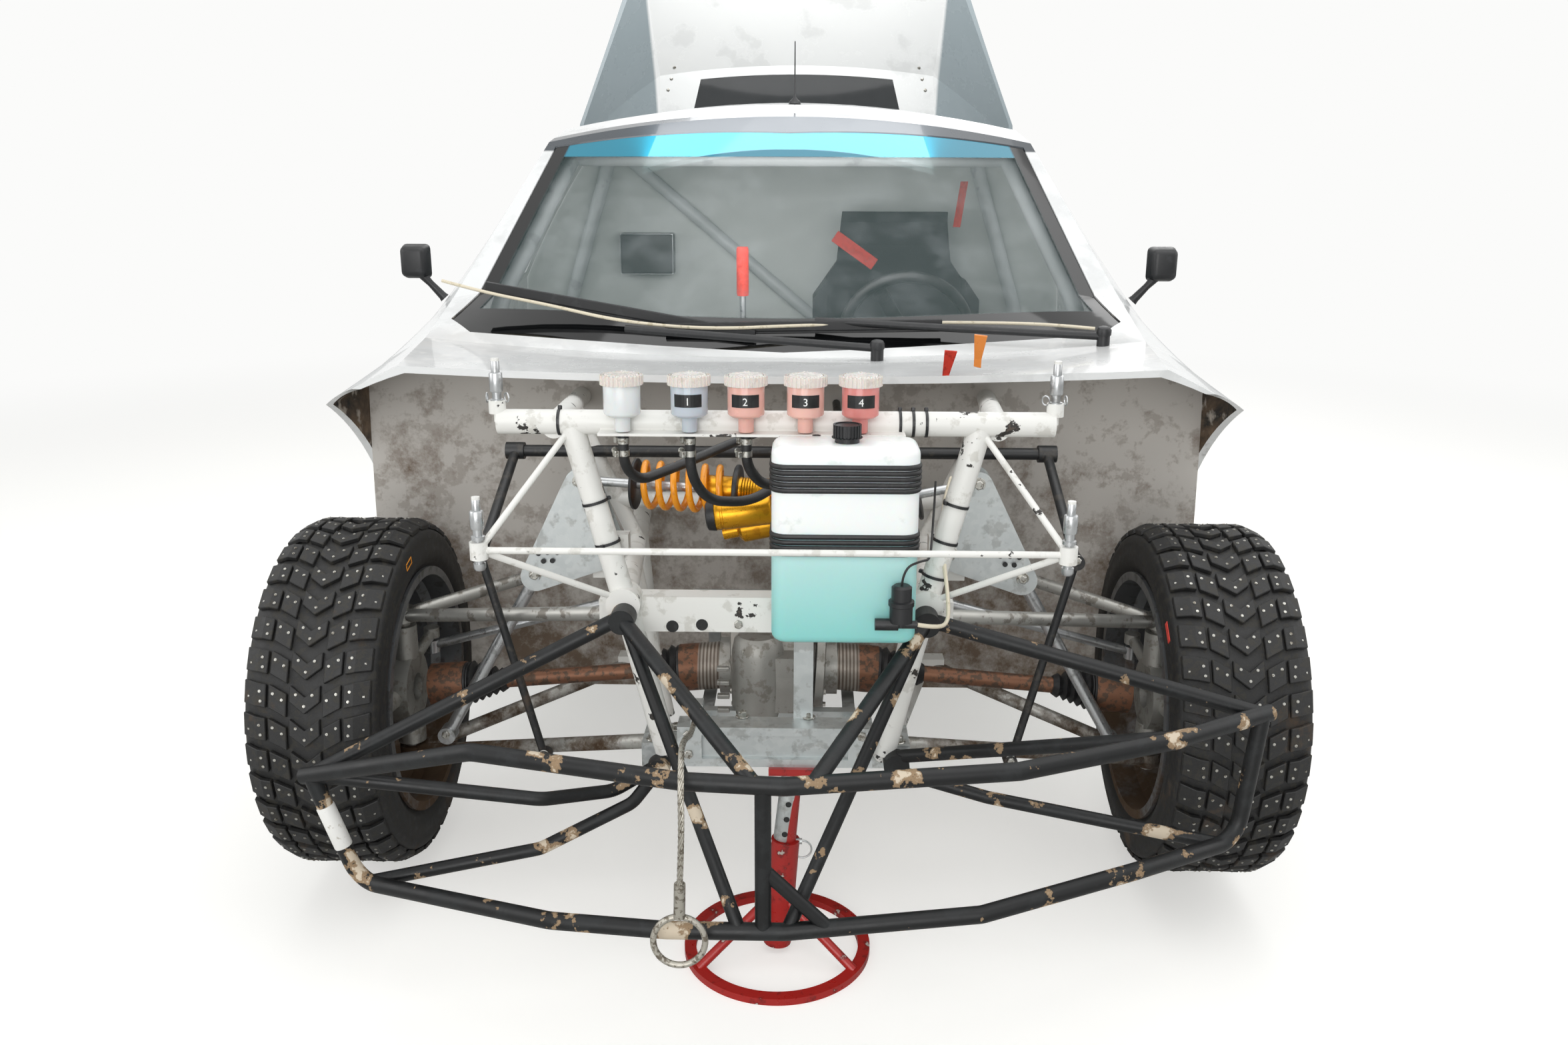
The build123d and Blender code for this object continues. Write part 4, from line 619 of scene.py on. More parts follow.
FINISH["label"] = layered("black label tape", "#101112", "#191A1B", 0.3, 20, 0.35, grain=2, bump=0.05)
FINISH["print"] = layered("white printed digits", "#E8E8E6", "#DADAD8", 0.3, 20, 0.4, grain=2, bump=0.02)
FINISH["white_wrap"] = layered("white vinyl sleeve", "#E4E3DF", "#B9B3A8", 0.25, 16, 0.4, grain=2, bump=0.1)
FINISH["radiator"] = layered("bare radiator core", "#9A9C9D", "#6B6A67", 0.4, 12, 0.4, metal=0.8, grain=1.5,
                             bump=0.6)
print("with plastics", len(FINISH))

# %% [markdown]
# The windows are thin polycarbonate. The windscreen has a black printed border and a cyan sun
# strip. Thin glazing is made as a surface that is mostly see-through, so lamplight still
# reaches the cabin, and the printed parts are simply where it isn't see-through.

# %% Glazing
def pane(title, tint, clearness, marks=None):
    """A clear sheet with a tint, a haze of dust, and marks if a function gives them."""
    finish = bpy.data.materials.new(title)
    finish.use_nodes = True
    tree = finish.node_tree
    shader = tree.nodes["Principled BSDF"]
    where = node(tree, "ShaderNodeTexCoord").outputs["Object"]
    axes = node(tree, "ShaderNodeSeparateXYZ", {0: where})
    dust = node(tree, "ShaderNodeTexNoise", {"Vector": where, "Scale": 11.0, "Detail": 8.0, "Roughness": 0.7})
    haze = combine(tree, threshold(tree, dust.outputs[0], 0.5, 0.85), 0.05)
    alpha = node(tree, "ShaderNodeMath", {0: haze, 1: 1 - clearness}, operation="ADD").outputs[0]
    colour = blended(tree, threshold(tree, dust.outputs[0], 0.45, 0.8), linear(tint), linear("#9AA6A8"))
    if marks is not None:
        colour, alpha = marks(tree, axes, colour, alpha)
    tree.links.new(colour, shader.inputs["Base Color"])
    tree.links.new(alpha, shader.inputs["Alpha"])
    shader.inputs["Roughness"].default_value = 0.06
    shader.inputs["IOR"].default_value = 1.52
    return finish


SCREEN_FOOT = FRONT_AXLE_Y + 0.5
SCREEN_HALF_WIDTH = 0.715
SCREEN_LEAN = 0.249
BORDER_TOP, BORDER_EDGE = 0.500, 0.496
SUN_STRIP_FOOT = 1.338


def screen_marks(tree, axes, colour, alpha):
    """The black border up both sides and along the foot, and the cyan strip at the top."""
    across = node(tree, "ShaderNodeMath", {0: axes.outputs[0]}, operation="ABSOLUTE").outputs[0]
    offset = -SCREEN_LEAN * SCREEN_FOOT - SCREEN_HALF_WIDTH
    lean = node(tree, "ShaderNodeMath", {0: axes.outputs[1], 1: SCREEN_LEAN, 2: offset},
                operation="MULTIPLY_ADD").outputs[0]
    edge = node(tree, "ShaderNodeMath", {0: across, 1: lean}, operation="ADD").outputs[0]
    sides = threshold(tree, edge, -0.040, -0.034)
    bow = node(tree, "ShaderNodeMath", {0: across, 1: across}, operation="MULTIPLY").outputs[0]
    low = node(tree, "ShaderNodeMath", {0: bow, 1: -0.12, 2: axes.outputs[1]},
               operation="MULTIPLY_ADD").outputs[0]
    foot = node(tree, "ShaderNodeMapRange",
                {0: low, 1: FRONT_AXLE_Y + BORDER_TOP, 2: FRONT_AXLE_Y + BORDER_EDGE}).outputs[0]
    border = combine(tree, sides, foot, "MAXIMUM")
    strip = threshold(tree, axes.outputs[2], SUN_STRIP_FOOT, SUN_STRIP_FOOT + 0.003)
    colour = blended(tree, strip, colour, linear("#157C94"))
    colour = blended(tree, border, colour, linear("#0E0F10"))
    return colour, combine(tree, alpha, combine(tree, border, strip, "MAXIMUM"), "MAXIMUM")


def smoked(tree, axes, colour, alpha):
    """An even dark tint, with no dust on it."""
    return blended(tree, axes.outputs[2], linear("#14181B"), linear("#1B2023")), alpha


FINISH["screen"] = pane("clear polycarbonate windscreen", "#46605F", 0.84, screen_marks)
FINISH["window"] = pane("clear polycarbonate window", "#56666B", 0.82)
FINISH["dark_window"] = pane("tinted clam window", "#191D20", 0.22, smoked)

# %% [markdown]
# Each CAD node keeps its shape and gets its finish here, from one table. A node that a modelled
# piece will stand in for gets a finish too, though it won't be seen.

# %% Finishes on the CAD nodes
NODE_FINISH = {
    "body": ["body_shell"],
    "door": ["door_left", "door_right"],
    "clam": ["rear_clam"],
    "panel": ["bulkheads", "floor_tub"],
    "cage": ["roll_cage"],
    "screen": ["windscreen"],
    "window": ["door_glass_left", "door_glass_right"],
    "dark_window": ["clam_glass"],
    "frame_white": ["front_frame", "rear_frame"],
    "frame_black": ["bumper_frame"],
    "zinc": ["front_subframe", "front_rockers"],
    "casting": ["front_diff", "gearbox", "knuckle_left", "knuckle_right", "rear_uprights"],
    "arm": ["wishbones"],
    "machined": ["front_pushrods", "tie_rods", "cockpit_fittings"],
    "gold": ["front_dampers", "rear_coilovers"],
    "spring": ["front_springs"],
    "arm_black": ["anti_roll_bar"],
    "tank": ["washer_tank"],
    "lid": ["fluid_cups"],
    "plastic": ["wipers", "dashboard", "rear_wing", "mirror_left", "mirror_right", "fuel_tank"],
    "seat": ["seat"],
    "hose": ["fluid_hoses", "steering_wheel"],
    "rubber": ["tyre_front_left", "tyre_front_right", "tyre_rear_left", "tyre_rear_right"],
    "rim": ["rim_front_left", "rim_front_right", "rim_rear_left", "rim_rear_right"],
    "engine": ["engine"],
    "exhaust": ["exhaust"],
    "radiator": ["radiator"],
    "rust": ["driveshafts"],
    "stand": ["front_stand"],
    "lamp": ["tail_lamps"],
    "rope": ["tow_rope", "rope_loop"],
}
for key, members in NODE_FINISH.items():
    for member in members:
        mesh = nodes[member].data
        mesh.materials.clear()
        mesh.materials.append(FINISH[key])
left_out = set(nodes) - {member for members in NODE_FINISH.values() for member in members}
print("nodes without a finish", sorted(left_out))

# %% [markdown]
# The rope that was wound before is put in place here, once its finish exists. It stands in for
# the plain CAD cord, which is hidden.

# %% Rope in place
hand_over(tow_rope, "chassis", FINISH["rope"])
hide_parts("tow_rope")

# %% [markdown]
# The tyres are studded gravel tyres: five ribs of blocks, with chevrons down the middle, and
# three small steel studs to a block. The carcass is a half profile spun about the axle. Each
# block starts as a plane, is pushed into its slanted shape, raised to tread depth and bevelled.

# %% Tyre carcass
TREAD_TOP = 0.3182
TREAD_DEPTH = 0.0085
PITCHES = 36
CARCASS = [
    # across from the middle, radius, in millimetres
    (-102, 219.5), (-103, 233), (-109, 240), (-111.5, 250), (-111.8, 262), (-110.5, 264),
    (-110.5, 280), (-109, 290), (-105, 296), (-98, 300), (-86, 306), (-70, 309.6), (0, 310.4),
    (70, 309.6), (86, 306), (98, 300), (105, 296), (109, 290), (110.5, 280), (110.5, 264),
    (111.8, 262), (111.5, 250), (109, 240), (103, 233), (102, 219.5), (90, 219.5),
    (0, 219.5), (-90, 219.5),
]


def lathe(name, profile, steps):
    """Spins a closed outline of (along, radius) in millimetres about the X axis."""
    points = [Vector((along / 1000, 0, radius / 1000)) for along, radius in profile]
    take(curve_object(name, "POLY", points + points[:1]))
    bpy.ops.object.convert(target="MESH")
    bpy.ops.object.mode_set(mode="EDIT")
    bpy.ops.mesh.select_all(action="SELECT")
    bpy.ops.mesh.spin(steps=steps, angle=tau, center=(0, 0, 0), axis=(1, 0, 0))
    bpy.ops.object.mode_set(mode="OBJECT")
    return outwards(named(name))


carcass = smooth(lathe("carcass", CARCASS, 96), 50)
print("carcass", len(carcass.data.polygons))

# %% Tread blocks
def choose(piece, test, kind="VERT"):
    """Selects the vertices, edges or faces that pass a test, and opens edit mode."""
    take(piece)
    bpy.ops.object.mode_set(mode="EDIT")
    bpy.ops.mesh.select_mode(type="VERT")
    bpy.ops.mesh.select_all(action="DESELECT")
    bpy.ops.mesh.select_mode(type=kind)
    bpy.ops.object.mode_set(mode="OBJECT")
    for part in {"VERT": piece.data.vertices, "EDGE": piece.data.edges, "FACE": piece.data.polygons}[kind]:
        part.select = test(part)
    bpy.ops.object.mode_set(mode="EDIT")


def tread_block(left, right, low, length, shift, cuts=0, drop_from=None, fall=0.0):
    """A block over the carcass: x from left to right, its right edge shifted along the tread."""
    clear_selection()
    bpy.ops.mesh.primitive_plane_add(size=1)
    block = named("tread_block")
    block.scale = ((right - left) / 1000, length / 1000, 1)
    block.location = ((left + right) / 2000, (low + length / 2) / 1000, 0)
    bake_place(block)
    if cuts:
        bpy.ops.object.mode_set(mode="EDIT")
        bpy.ops.mesh.subdivide(number_cuts=cuts)
    middle = (left + right) / 2000
    if cuts:
        choose(block, lambda vertex: abs(vertex.co.x - middle) < 0.001)
    else:
        choose(block, lambda vertex: vertex.co.x > middle)
    bpy.ops.transform.translate(value=(0, shift / 1000, 0))
    bpy.ops.mesh.select_all(action="SELECT")
    bpy.ops.mesh.extrude_region_move(TRANSFORM_OT_translate={"value": (0, 0, TREAD_DEPTH)})
    if drop_from is not None:
        bpy.ops.mesh.select_all(action="SELECT")
        bpy.ops.mesh.bisect(plane_co=(drop_from / 1000, 0, 0), plane_no=(1, 0, 0))
        choose(block, lambda vertex: vertex.co.x > drop_from / 1000 + 0.001)
        bpy.ops.transform.translate(value=(0, 0, -fall / 1000))
    bpy.ops.object.mode_set(mode="OBJECT")
    block.location = (0, 0, TREAD_TOP - TREAD_DEPTH)
    bake_place(block)
    return rounded(outwards(block), 0.0012, 1)


def stud(x, along, height=TREAD_TOP):
    """A steel stud: a small hexagon with a finer pin, standing out of the tread."""
    clear_selection()
    spot = (x / 1000, along / 1000, height - 0.0006)
    bpy.ops.mesh.primitive_cylinder_add(vertices=6, radius=0.0026, depth=0.003, location=spot)
    pin = named("stud")
    bake_place(pin)
    choose(pin, lambda face: face.normal.z > 0.9, "FACE")
    bpy.ops.mesh.inset(thickness=0.0011)
    bpy.ops.mesh.extrude_region_move(TRANSFORM_OT_translate={"value": (0, 0, 0.0009)})
    bpy.ops.object.mode_set(mode="OBJECT")
    return pin


chevron = tread_block(-25, 25, -9, 27, -20, cuts=1)
rib = tread_block(30, 59, -21, 38, 16)
shoulder = tread_block(64, 104, -19, 38, 8, drop_from=80, fall=12)
print("blocks", [len(piece.data.polygons) for piece in (chevron, rib, shoulder)])

# %% [markdown]
# The blocks are one pitch of the pattern. A mirror across the tyre's middle gives the other
# side's blocks, and an array turned by an empty about the axle repeats the pitch right round.

# %% Tread round the tyre
MIRROR_X = Matrix.Scale(-1, 4, (1, 0, 0))
STAGGER = radians(360 / PITCHES / 2)
pitch = [chevron, rib, shoulder]
pitch += [outwards(copied(piece, MIRROR_X)) for piece in (rib, shoulder)]
for piece in pitch[1::2]:
    piece.data.transform(Matrix.Rotation(STAGGER * 0.5, 4, "X"))
treads = joined("tread", pitch)
STUDS = [(-14, 3), (13, 2), (0, -16), (37, -6), (52, 4), (-37, -6), (-52, 4), (72, -8), (74, 8), (-72, -8),
         (-74, 8)]
pins = [stud(x, along) for x, along in STUDS]
pins += [stud(x, 0, TREAD_TOP - 0.0085) for x in (94, -94)]
studs = joined("studs", pins)


def ring_of(piece, count):
    """Repeat a piece at even turns about the axle."""
    turner = bpy.data.objects.new("turner", None)
    bpy.context.scene.collection.objects.link(turner)
    turner.rotation_euler = (tau / count, 0, 0)
    array = piece.modifiers.new("round", "ARRAY")
    array.count = count
    array.use_relative_offset = False
    array.use_object_offset = True
    array.offset_object = turner
    bpy.context.view_layer.update()
    apply_modifiers(piece)
    drop(turner)
    return piece


ring_of(treads, PITCHES)
ring_of(studs, PITCHES)
print("tread faces", len(treads.data.polygons), "stud faces", len(studs.data.polygons))

# %% Tyres on the car
WHEELS = [
    # name, side, station, height of the axle
    ("front_left", 1, 0, 360),
    ("front_right", -1, 0, 360),
    ("rear_left", 1, 2500, 320),
    ("rear_right", -1, 2500, 320),
]
tread_body = joined("tyre_model", [carcass, treads])
for name, hand, station, height in WHEELS:
    middle = Matrix.Translation(place(hand * 768, station, height))
    side = name.split("_")
    body = side[0] + "_wheel_" + side[1]
    made = hand_over(copied(tread_body, middle, "tyre_" + name + "_tread"), body,
                     FINISH["rubber"])
    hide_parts("tyre_" + name)
    hand_over(copied(studs, middle, "studs_" + name), body, FINISH["bolt"])
drop(tread_body)
drop(studs)

# %% [markdown]
# Each front tyre has a small moulded mark on its inner sidewall, left blank here: an orange
# outline on one side of the car and a red block on the other. Both are thin bars that are set
# at a radius over the axle and then turned about it.

# %% Sidewall marks
def sidewall_bar(hand, turn, radius, along, length, height):
    """A thin moulding on a front tyre's inner sidewall, at a turn from the top and a radius."""
    clear_selection()
    bpy.ops.mesh.primitive_cube_add(size=1, location=(0, along / 1000, radius / 1000))
    bar = named("bar")
    bar.scale = (0.0014, length / 1000, height / 1000)
    bake_place(bar)
    bar.data.transform(Matrix.Translation(place(hand * 657.2, 0, 360))
                       @ Matrix.Rotation(radians(turn), 4, "X"))
    return bar


FINISH["orange_mark"] = layered("orange tyre marking", "#E8962E", "#D4811F", 0.3, 12, 0.5, grain=2, bump=0.1)
FINISH["red_mark"] = layered("red tyre marking", "#E0463A", "#C93A30", 0.3, 12, 0.5, grain=2, bump=0.1)
mark = [sidewall_bar(-1, 14.1, 271.5 + side * 5.6, 0, 30, 1.6) for side in (1, -1)]
mark += [sidewall_bar(-1, 14.1, 271.5, side * 14.2, 1.6, 12.0) for side in (1, -1)]
hand_over(joined("tyre_mark_right", mark), "front_wheel_right", FINISH["orange_mark"])
mark = sidewall_bar(1, 44.5, 270.5, 0, 36, 11)
mark.name = "tyre_mark_left"
hand_over(mark, "front_wheel_left", FINISH["red_mark"])

# %% [markdown]
# The alloy rims keep their CAD shape. What makes them look real is small: the polished lip and
# the ring of wheel bolts. A lip is a thin ring spun over the flange; a bolt is a hexagon with a
# washer under it.

# %% Rim lips and wheel nuts
LIP = [(103.5, 212.4), (109, 212.4), (110.2, 214), (110.2, 226), (109, 227.6), (104.5, 227.9),
       (104.5, 227.4), (108.6, 227), (109.4, 226), (109.4, 215), (108.6, 213.2), (103.5, 213)]
lip = smooth(lathe("rim_lip", LIP, 96), 40)


def hex_bolt(radius, height):
    """A hexagon head with a chamfer on a washer, standing on the level plane and facing +Z."""
    clear_selection()
    bpy.ops.mesh.primitive_cylinder_add(vertices=20, radius=radius * 1.45, depth=height * 0.25,
                                        location=(0, 0, height * 0.125))
    washer = rounded(named("washer"), radius * 0.12, 1)
    clear_selection()
    bpy.ops.mesh.primitive_cylinder_add(vertices=6, radius=radius, depth=height,
                                        location=(0, 0, height * 0.5))
    head = named("head")
    choose(head, lambda face: face.normal.z > 0.9, "FACE")
    bpy.ops.mesh.inset(thickness=radius * 0.16)
    bpy.ops.transform.translate(value=(0, 0, radius * 0.14))
    bpy.ops.mesh.inset(thickness=radius * 0.25)
    bpy.ops.mesh.extrude_region_move(TRANSFORM_OT_translate={"value": (0, 0, -radius * 0.2)})
    bpy.ops.object.mode_set(mode="OBJECT")
    return joined("hex_bolt", [head, washer])


bolt = hex_bolt(0.008, 0.009)
for name, hand, station, height in WHEELS:
    middle = place(hand * 768, station, height)
    flip = MIRROR_X if hand < 0 else Matrix.Identity(4)
    side = name.split("_")
    body = side[0] + "_wheel_" + side[1]
    made = copied(lip, Matrix.Translation(middle) @ flip, "rim_lip_" + name)
    hand_over(outwards(made), body, FINISH["lip"])
    nuts = []
    for turn in range(5):
        angle = tau * turn / 5
        spot = middle + Vector((hand * 0.0655, 0.056 * cos(angle), 0.056 * sin(angle)))
        nuts.append(copied(bolt, facing((hand, 0, 0), spot)))
    hand_over(joined("wheel_nuts_" + name, nuts), body, FINISH["bolt"])
drop(lip)

# %% [markdown]
# The front coilovers lie across the nose. A coil spring is a wire circle carried round and
# along an axis at once, which is what the screw modifier does, and its ends sit in the damper's
# seats. Pitch is the distance from one turn to the next.

# %% Coil springs
def coil(name, start, end, radius, wire, turns):
    """A coil spring from start to end, by its outer radius, its wire's radius and its turns."""
    run = (end - start).length
    clear_selection()
    bpy.ops.mesh.primitive_circle_add(vertices=12, radius=wire, location=(radius - wire, 0, 0),
                                      rotation=(pi / 2, 0, 0))
    spring = named(name)
    bake_place(spring)
    screw = spring.modifiers.new("wind", "SCREW")
    screw.axis = "Z"
    screw.steps = 28
    screw.render_steps = 28
    screw.iterations = turns
    screw.screw_offset = (run - 2 * wire) / turns
    apply_modifiers(spring)
    choose(spring, lambda vertex: True)
    bpy.ops.mesh.select_all(action="DESELECT")
    bpy.ops.mesh.select_non_manifold()
    bpy.ops.mesh.edge_face_add()
    bpy.ops.object.mode_set(mode="OBJECT")
    spring.data.transform(facing(end - start, start) @ Matrix.Translation((0, 0, wire)))
    return smooth(outwards(spring), 60)


COILOVERS = [((-345, -50, 775), (78, -100, 762)), ((345, -50, 775), (-100, -4, 668))]
front_coils = []
for eye, far in COILOVERS:
    eye, far = place(*eye), place(*far)
    front_coils.append(coil("coil", eye.lerp(far, 0.2385), eye.lerp(far, 0.6355), 0.0435, 0.0058, 6))
front_springs = hand_over(joined("front_coil_springs", front_coils), "chassis",
                          FINISH["spring"])
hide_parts("front_springs")

rear_parts = []
for hand in (1, -1):
    low, high = place(hand * 560, 2560, 250), place(hand * 440, 2525, 840)
    rear_parts.append(coil("rear_coil", low.lerp(high, 0.31), low.lerp(high, 0.89), 0.0375, 0.0055, 9))
hand_over(joined("rear_coil_springs", rear_parts), "chassis", FINISH["spring"])


def turned(name, start, end, profile, sides=32):
    """A turned part between two points: (share of the way, radius in millimetres) pairs."""
    run = (end - start).length
    points = [Vector((share * run, 0, radius / 1000)) for share, radius in profile]
    take(curve_object(name, "POLY", [Vector((0, 0, 0))] + points + [Vector((run, 0, 0))]))
    bpy.ops.object.convert(target="MESH")
    bpy.ops.object.mode_set(mode="EDIT")
    bpy.ops.mesh.select_all(action="SELECT")
    bpy.ops.mesh.spin(steps=sides, angle=tau, center=(0, 0, 0), axis=(1, 0, 0))
    bpy.ops.object.mode_set(mode="OBJECT")
    piece = outwards(named(name))
    piece.data.transform(facing(end - start, start) @ Matrix.Rotation(-pi / 2, 4, "Y"))
    return smooth(piece)


REAR_DAMPER = [(0.0, 10), (0.08, 10), (0.081, 23), (0.29, 23), (0.291, 37), (0.305, 37), (0.306, 23.5),
               (0.46, 23.5), (0.461, 9), (0.885, 9), (0.886, 37), (0.9, 37), (0.905, 16), (0.975, 10),
               (1.0, 10)]
shafts = []
for hand in (1, -1):
    low, high = place(hand * 560, 2560, 250), place(hand * 440, 2525, 840)
    shafts.append(turned("shaft", low, high, REAR_DAMPER))
rear_dampers = hand_over(joined("rear_damper_bodies", shafts), "chassis", FINISH["gold"])
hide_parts("rear_coilovers")

# %% [markdown]
# A front damper has a bright rod, a gold body with fine threads for the spring seat, and a
# remote canister. Each is turned on the damper's own line, as one outline per material, and
# together they keep the form of the CAD damper that they stand in for.

# %% Front dampers
rods, damper_bodies, seats = [], [], []
for eye, far in COILOVERS:
    eye, far = place(*eye), place(*far)
    rods.append(turned("rod", eye, eye.lerp(far, 0.51), [(0.0, 12), (0.1, 12), (0.11, 8), (1.0, 8)], 24))
    threads = []
    for ridge in range(9):
        threads += [(0.33 + ridge * 0.022, 24), (0.341 + ridge * 0.022, 22.8)]
    damper_bodies.append(turned("body", eye.lerp(far, 0.5), far,
                                [(0.0, 22), (0.02, 24), *threads, (0.53, 24), (0.84, 24),
                                                                  (0.86, 20), (0.88, 13), (1.0, 13)]))
    seats.append(turned("seat", eye.lerp(far, 0.22), eye.lerp(far, 0.235),
                        [(0.0, 43), (0.2, 45), (0.8, 45), (1.0, 43)], 40))
    seats.append(turned("seat", eye.lerp(far, 0.64), eye.lerp(far, 0.66),
                        [(0.0, 43), (0.2, 45), (0.8, 45), (1.0, 43)], 40))
canister = turned("canister", place(-104, -150, 740), place(-10, -150, 752),
                  [(0.0, 24.5), (0.02, 25.6), (0.1, 25.6), (0.11, 24.6), (0.14, 24.6), (0.15, 25.6),
                   (0.96, 25.6), (1.0, 23)])
front_bodies = hand_over(joined("front_damper_bodies", damper_bodies + [canister]), "chassis",
                         FINISH["gold"])
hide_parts("front_dampers")
hand_over(joined("front_damper_rods", rods), "chassis", FINISH["machined"])

# %% [markdown]
# The differential is a sand casting. Its cover bulges forward like a barrel, four short ribs
# stiffen the side, and a bolted flange closes each end, where a driveshaft goes in.

# %% Differential casting
ribs = [turned("belly", place(-36, -84, 333), place(-36, -84, 503),
               [(0.0, 34), (0.05, 42), (0.18, 46.5), (0.5, 48), (0.82, 46.5), (0.95, 42), (1.0, 34)], 64)]
for height in (372, 398, 424, 450):
    clear_selection()
    bpy.ops.mesh.primitive_cube_add(size=1, location=place(-96, -117, height))
    rib = named("rib")
    rib.scale = (0.022, 0.012, 0.008)
    bake_place(rib)
    ribs.append(rounded(rib, 0.0015))
for hand in (1, -1):
    ribs.append(turned("flange", place(hand * 66, 0, 414), place(hand * 84, 0, 413),
                       [(0.0, 84), (0.1, 88), (0.9, 88), (1.0, 84)], 48))
hand_over(joined("diff_ribs", ribs), "chassis", FINISH["casting"])
flange_bolts = []
for hand in (1, -1):
    for turn in range(8):
        angle = tau * (turn + 0.5) / 8
        spot = place(hand * 84, 0, 413) + Vector((0, 0.078 * cos(angle), 0.078 * sin(angle)))
        flange_bolts.append(copied(bolt, facing((hand, 0, 0), spot) @ Matrix.Scale(0.6, 4)))
hand_over(joined("diff_flange_bolts", flange_bolts), "chassis", FINISH["bolt"])

# %% [markdown]
# The springs' black seats were turned with the dampers. The canister's end cap is black too, so
# it joins them as one piece.

# %% Spring seats and canister cap
cap = turned("canister_cap", place(-119, -150, 738), place(-104, -150, 740),
             [(0.0, 20), (0.15, 24), (0.9, 26), (1.0, 26)])
hand_over(joined("front_spring_seats", seats + [cap]), "chassis", FINISH["plastic"])

# %% [markdown]
# Five fluid cups stand on the nose frame's shelf, four of them numbered so that the circuits
# can be told apart. Each is a clear moulded cup with fluid in it and a ribbed screw lid.
# The lid's ribs come from insetting every other face round its side and pushing it out.

# %% Fluid cups
CUPS = [
    # x, fluid colour, digit on the label
    (-229, "#DDE0E0", ""),
    (-128, "#BCC4CC", "1"),
    (-43, "#E3B0A4", "2"),
    (46, "#E5B6AA", "3"),
    (128, "#D98A84", "4"),
]
CUP_STATION = -322


def cup_body(x):
    """A clear cup with a narrower foot that goes down to the shelf."""
    clear_selection()
    bpy.ops.mesh.primitive_cylinder_add(vertices=40, radius=0.0278, depth=0.045,
                                        location=place(x, CUP_STATION, 967.5))
    body = named("cup")
    foot = body.location.z - 0.0225
    bake_place(body)
    choose(body, lambda face: face.normal.z < -0.9, "FACE")
    bpy.ops.mesh.inset(thickness=0.006)
    bpy.ops.transform.translate(value=(0, 0, -0.004))
    bpy.ops.mesh.inset(thickness=0.010)
    bpy.ops.mesh.extrude_region_move(TRANSFORM_OT_translate={"value": (0, 0, -(foot - 0.9215))})
    bpy.ops.object.mode_set(mode="OBJECT")
    return smooth(rounded(body, 0.0015))


def cup_lid(x):
    """A screw lid with ribs round its side and a raised middle."""
    clear_selection()
    bpy.ops.mesh.primitive_cylinder_add(vertices=56, radius=0.0312, depth=0.015,
                                        location=place(x, CUP_STATION, 996))
    lid = named("lid")
    bake_place(lid)
    choose(lid, lambda face: abs(face.normal.z) < 0.1 and face.index % 2 == 0, "FACE")
    bpy.ops.mesh.inset(thickness=0.0004, use_individual=True)
    bpy.ops.transform.shrink_fatten(value=0.0014)
    choose(lid, lambda face: face.normal.z > 0.9, "FACE")
    bpy.ops.mesh.inset(thickness=0.004)
    bpy.ops.mesh.extrude_region_move(TRANSFORM_OT_translate={"value": (0, 0, -0.003)})
    bpy.ops.mesh.inset(thickness=0.003)
    bpy.ops.mesh.extrude_region_move(TRANSFORM_OT_translate={"value": (0, 0, 0.0035)})
    bpy.ops.object.mode_set(mode="OBJECT")
    return lid


bodies, lids, labels, digits = [], [], [], []
for x, fluid, digit in CUPS:
    wet = layered("brake fluid cup " + (digit or "clear"), fluid, fluid, 0.2, 30, 0.16, grain=6, bump=0.03,
                  Subsurface_Weight=0.3, Subsurface_Scale=0.01)
    cup = cup_body(x)
    hand_over(cup, "chassis", wet)
    cup.name = "cup_" + (digit or "clear")
    if not bodies:
        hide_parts("fluid_cups")
    bodies.append(cup)
    lids.append(cup_lid(x))
    if digit:
        clear_selection()
        bpy.ops.mesh.primitive_cylinder_add(vertices=40, radius=0.0282, depth=0.019, end_fill_type="NOTHING",
                                            location=place(x, CUP_STATION, 968))
        label = named("label")
        bake_place(label)
        choose(label, lambda face: face.normal.y > -0.72, "FACE")
        bpy.ops.mesh.delete(type="FACE")
        bpy.ops.object.mode_set(mode="OBJECT")
        shell = label.modifiers.new("tape", "SOLIDIFY")
        shell.thickness = 0.0004
        shell.offset = 1.0
        labels.append(apply_modifiers(label))
        clear_selection()
        bpy.ops.object.text_add(location=place(x - 4, CUP_STATION - 28.9, 962), rotation=(pi / 2, 0, 0))
        text = bpy.context.active_object
        text.data.body = digit
        text.data.size = 0.016
        text.data.extrude = 0.0002
        digits.append(bake_place(as_mesh(text)))
hand_over(joined("cup_lids", lids), "chassis", FINISH["lid"])
hand_over(joined("cup_labels", labels), "chassis", FINISH["label"])
hand_over(joined("cup_digits", digits), "chassis", FINISH["print"])

# %% [markdown]
# The washer tank is blown plastic, so all its corners are soft. A cube is given its size, its
# upright edges get a large bevel and all others a small one. Two groups of rubber cord strap it
# to the frame, and they are rings drawn round the same outline, a little further out.

# %% Washer tank
TANK_LOW, TANK_HIGH = (-3, -422, 615), (213, -326, 915)


def tank_block(name, low, high, upright, edge):
    """A box between two corners with large rounds on its upright edges."""
    low, high = place(*low), place(*high)
    clear_selection()
    bpy.ops.mesh.primitive_cube_add(size=1, location=(low + high) / 2)
    block = named(name)
    block.scale = high - low
    bake_place(block)
    points = block.data.vertices
    choose(block, lambda line: abs(points[line.vertices[0]].co.z - points[line.vertices[1]].co.z) > 0.001,
           "EDGE")
    bpy.ops.mesh.bevel(offset=upright, segments=6, affect="EDGES")
    bpy.ops.object.mode_set(mode="OBJECT")
    return smooth(rounded(block, edge, 4, 60), 40)


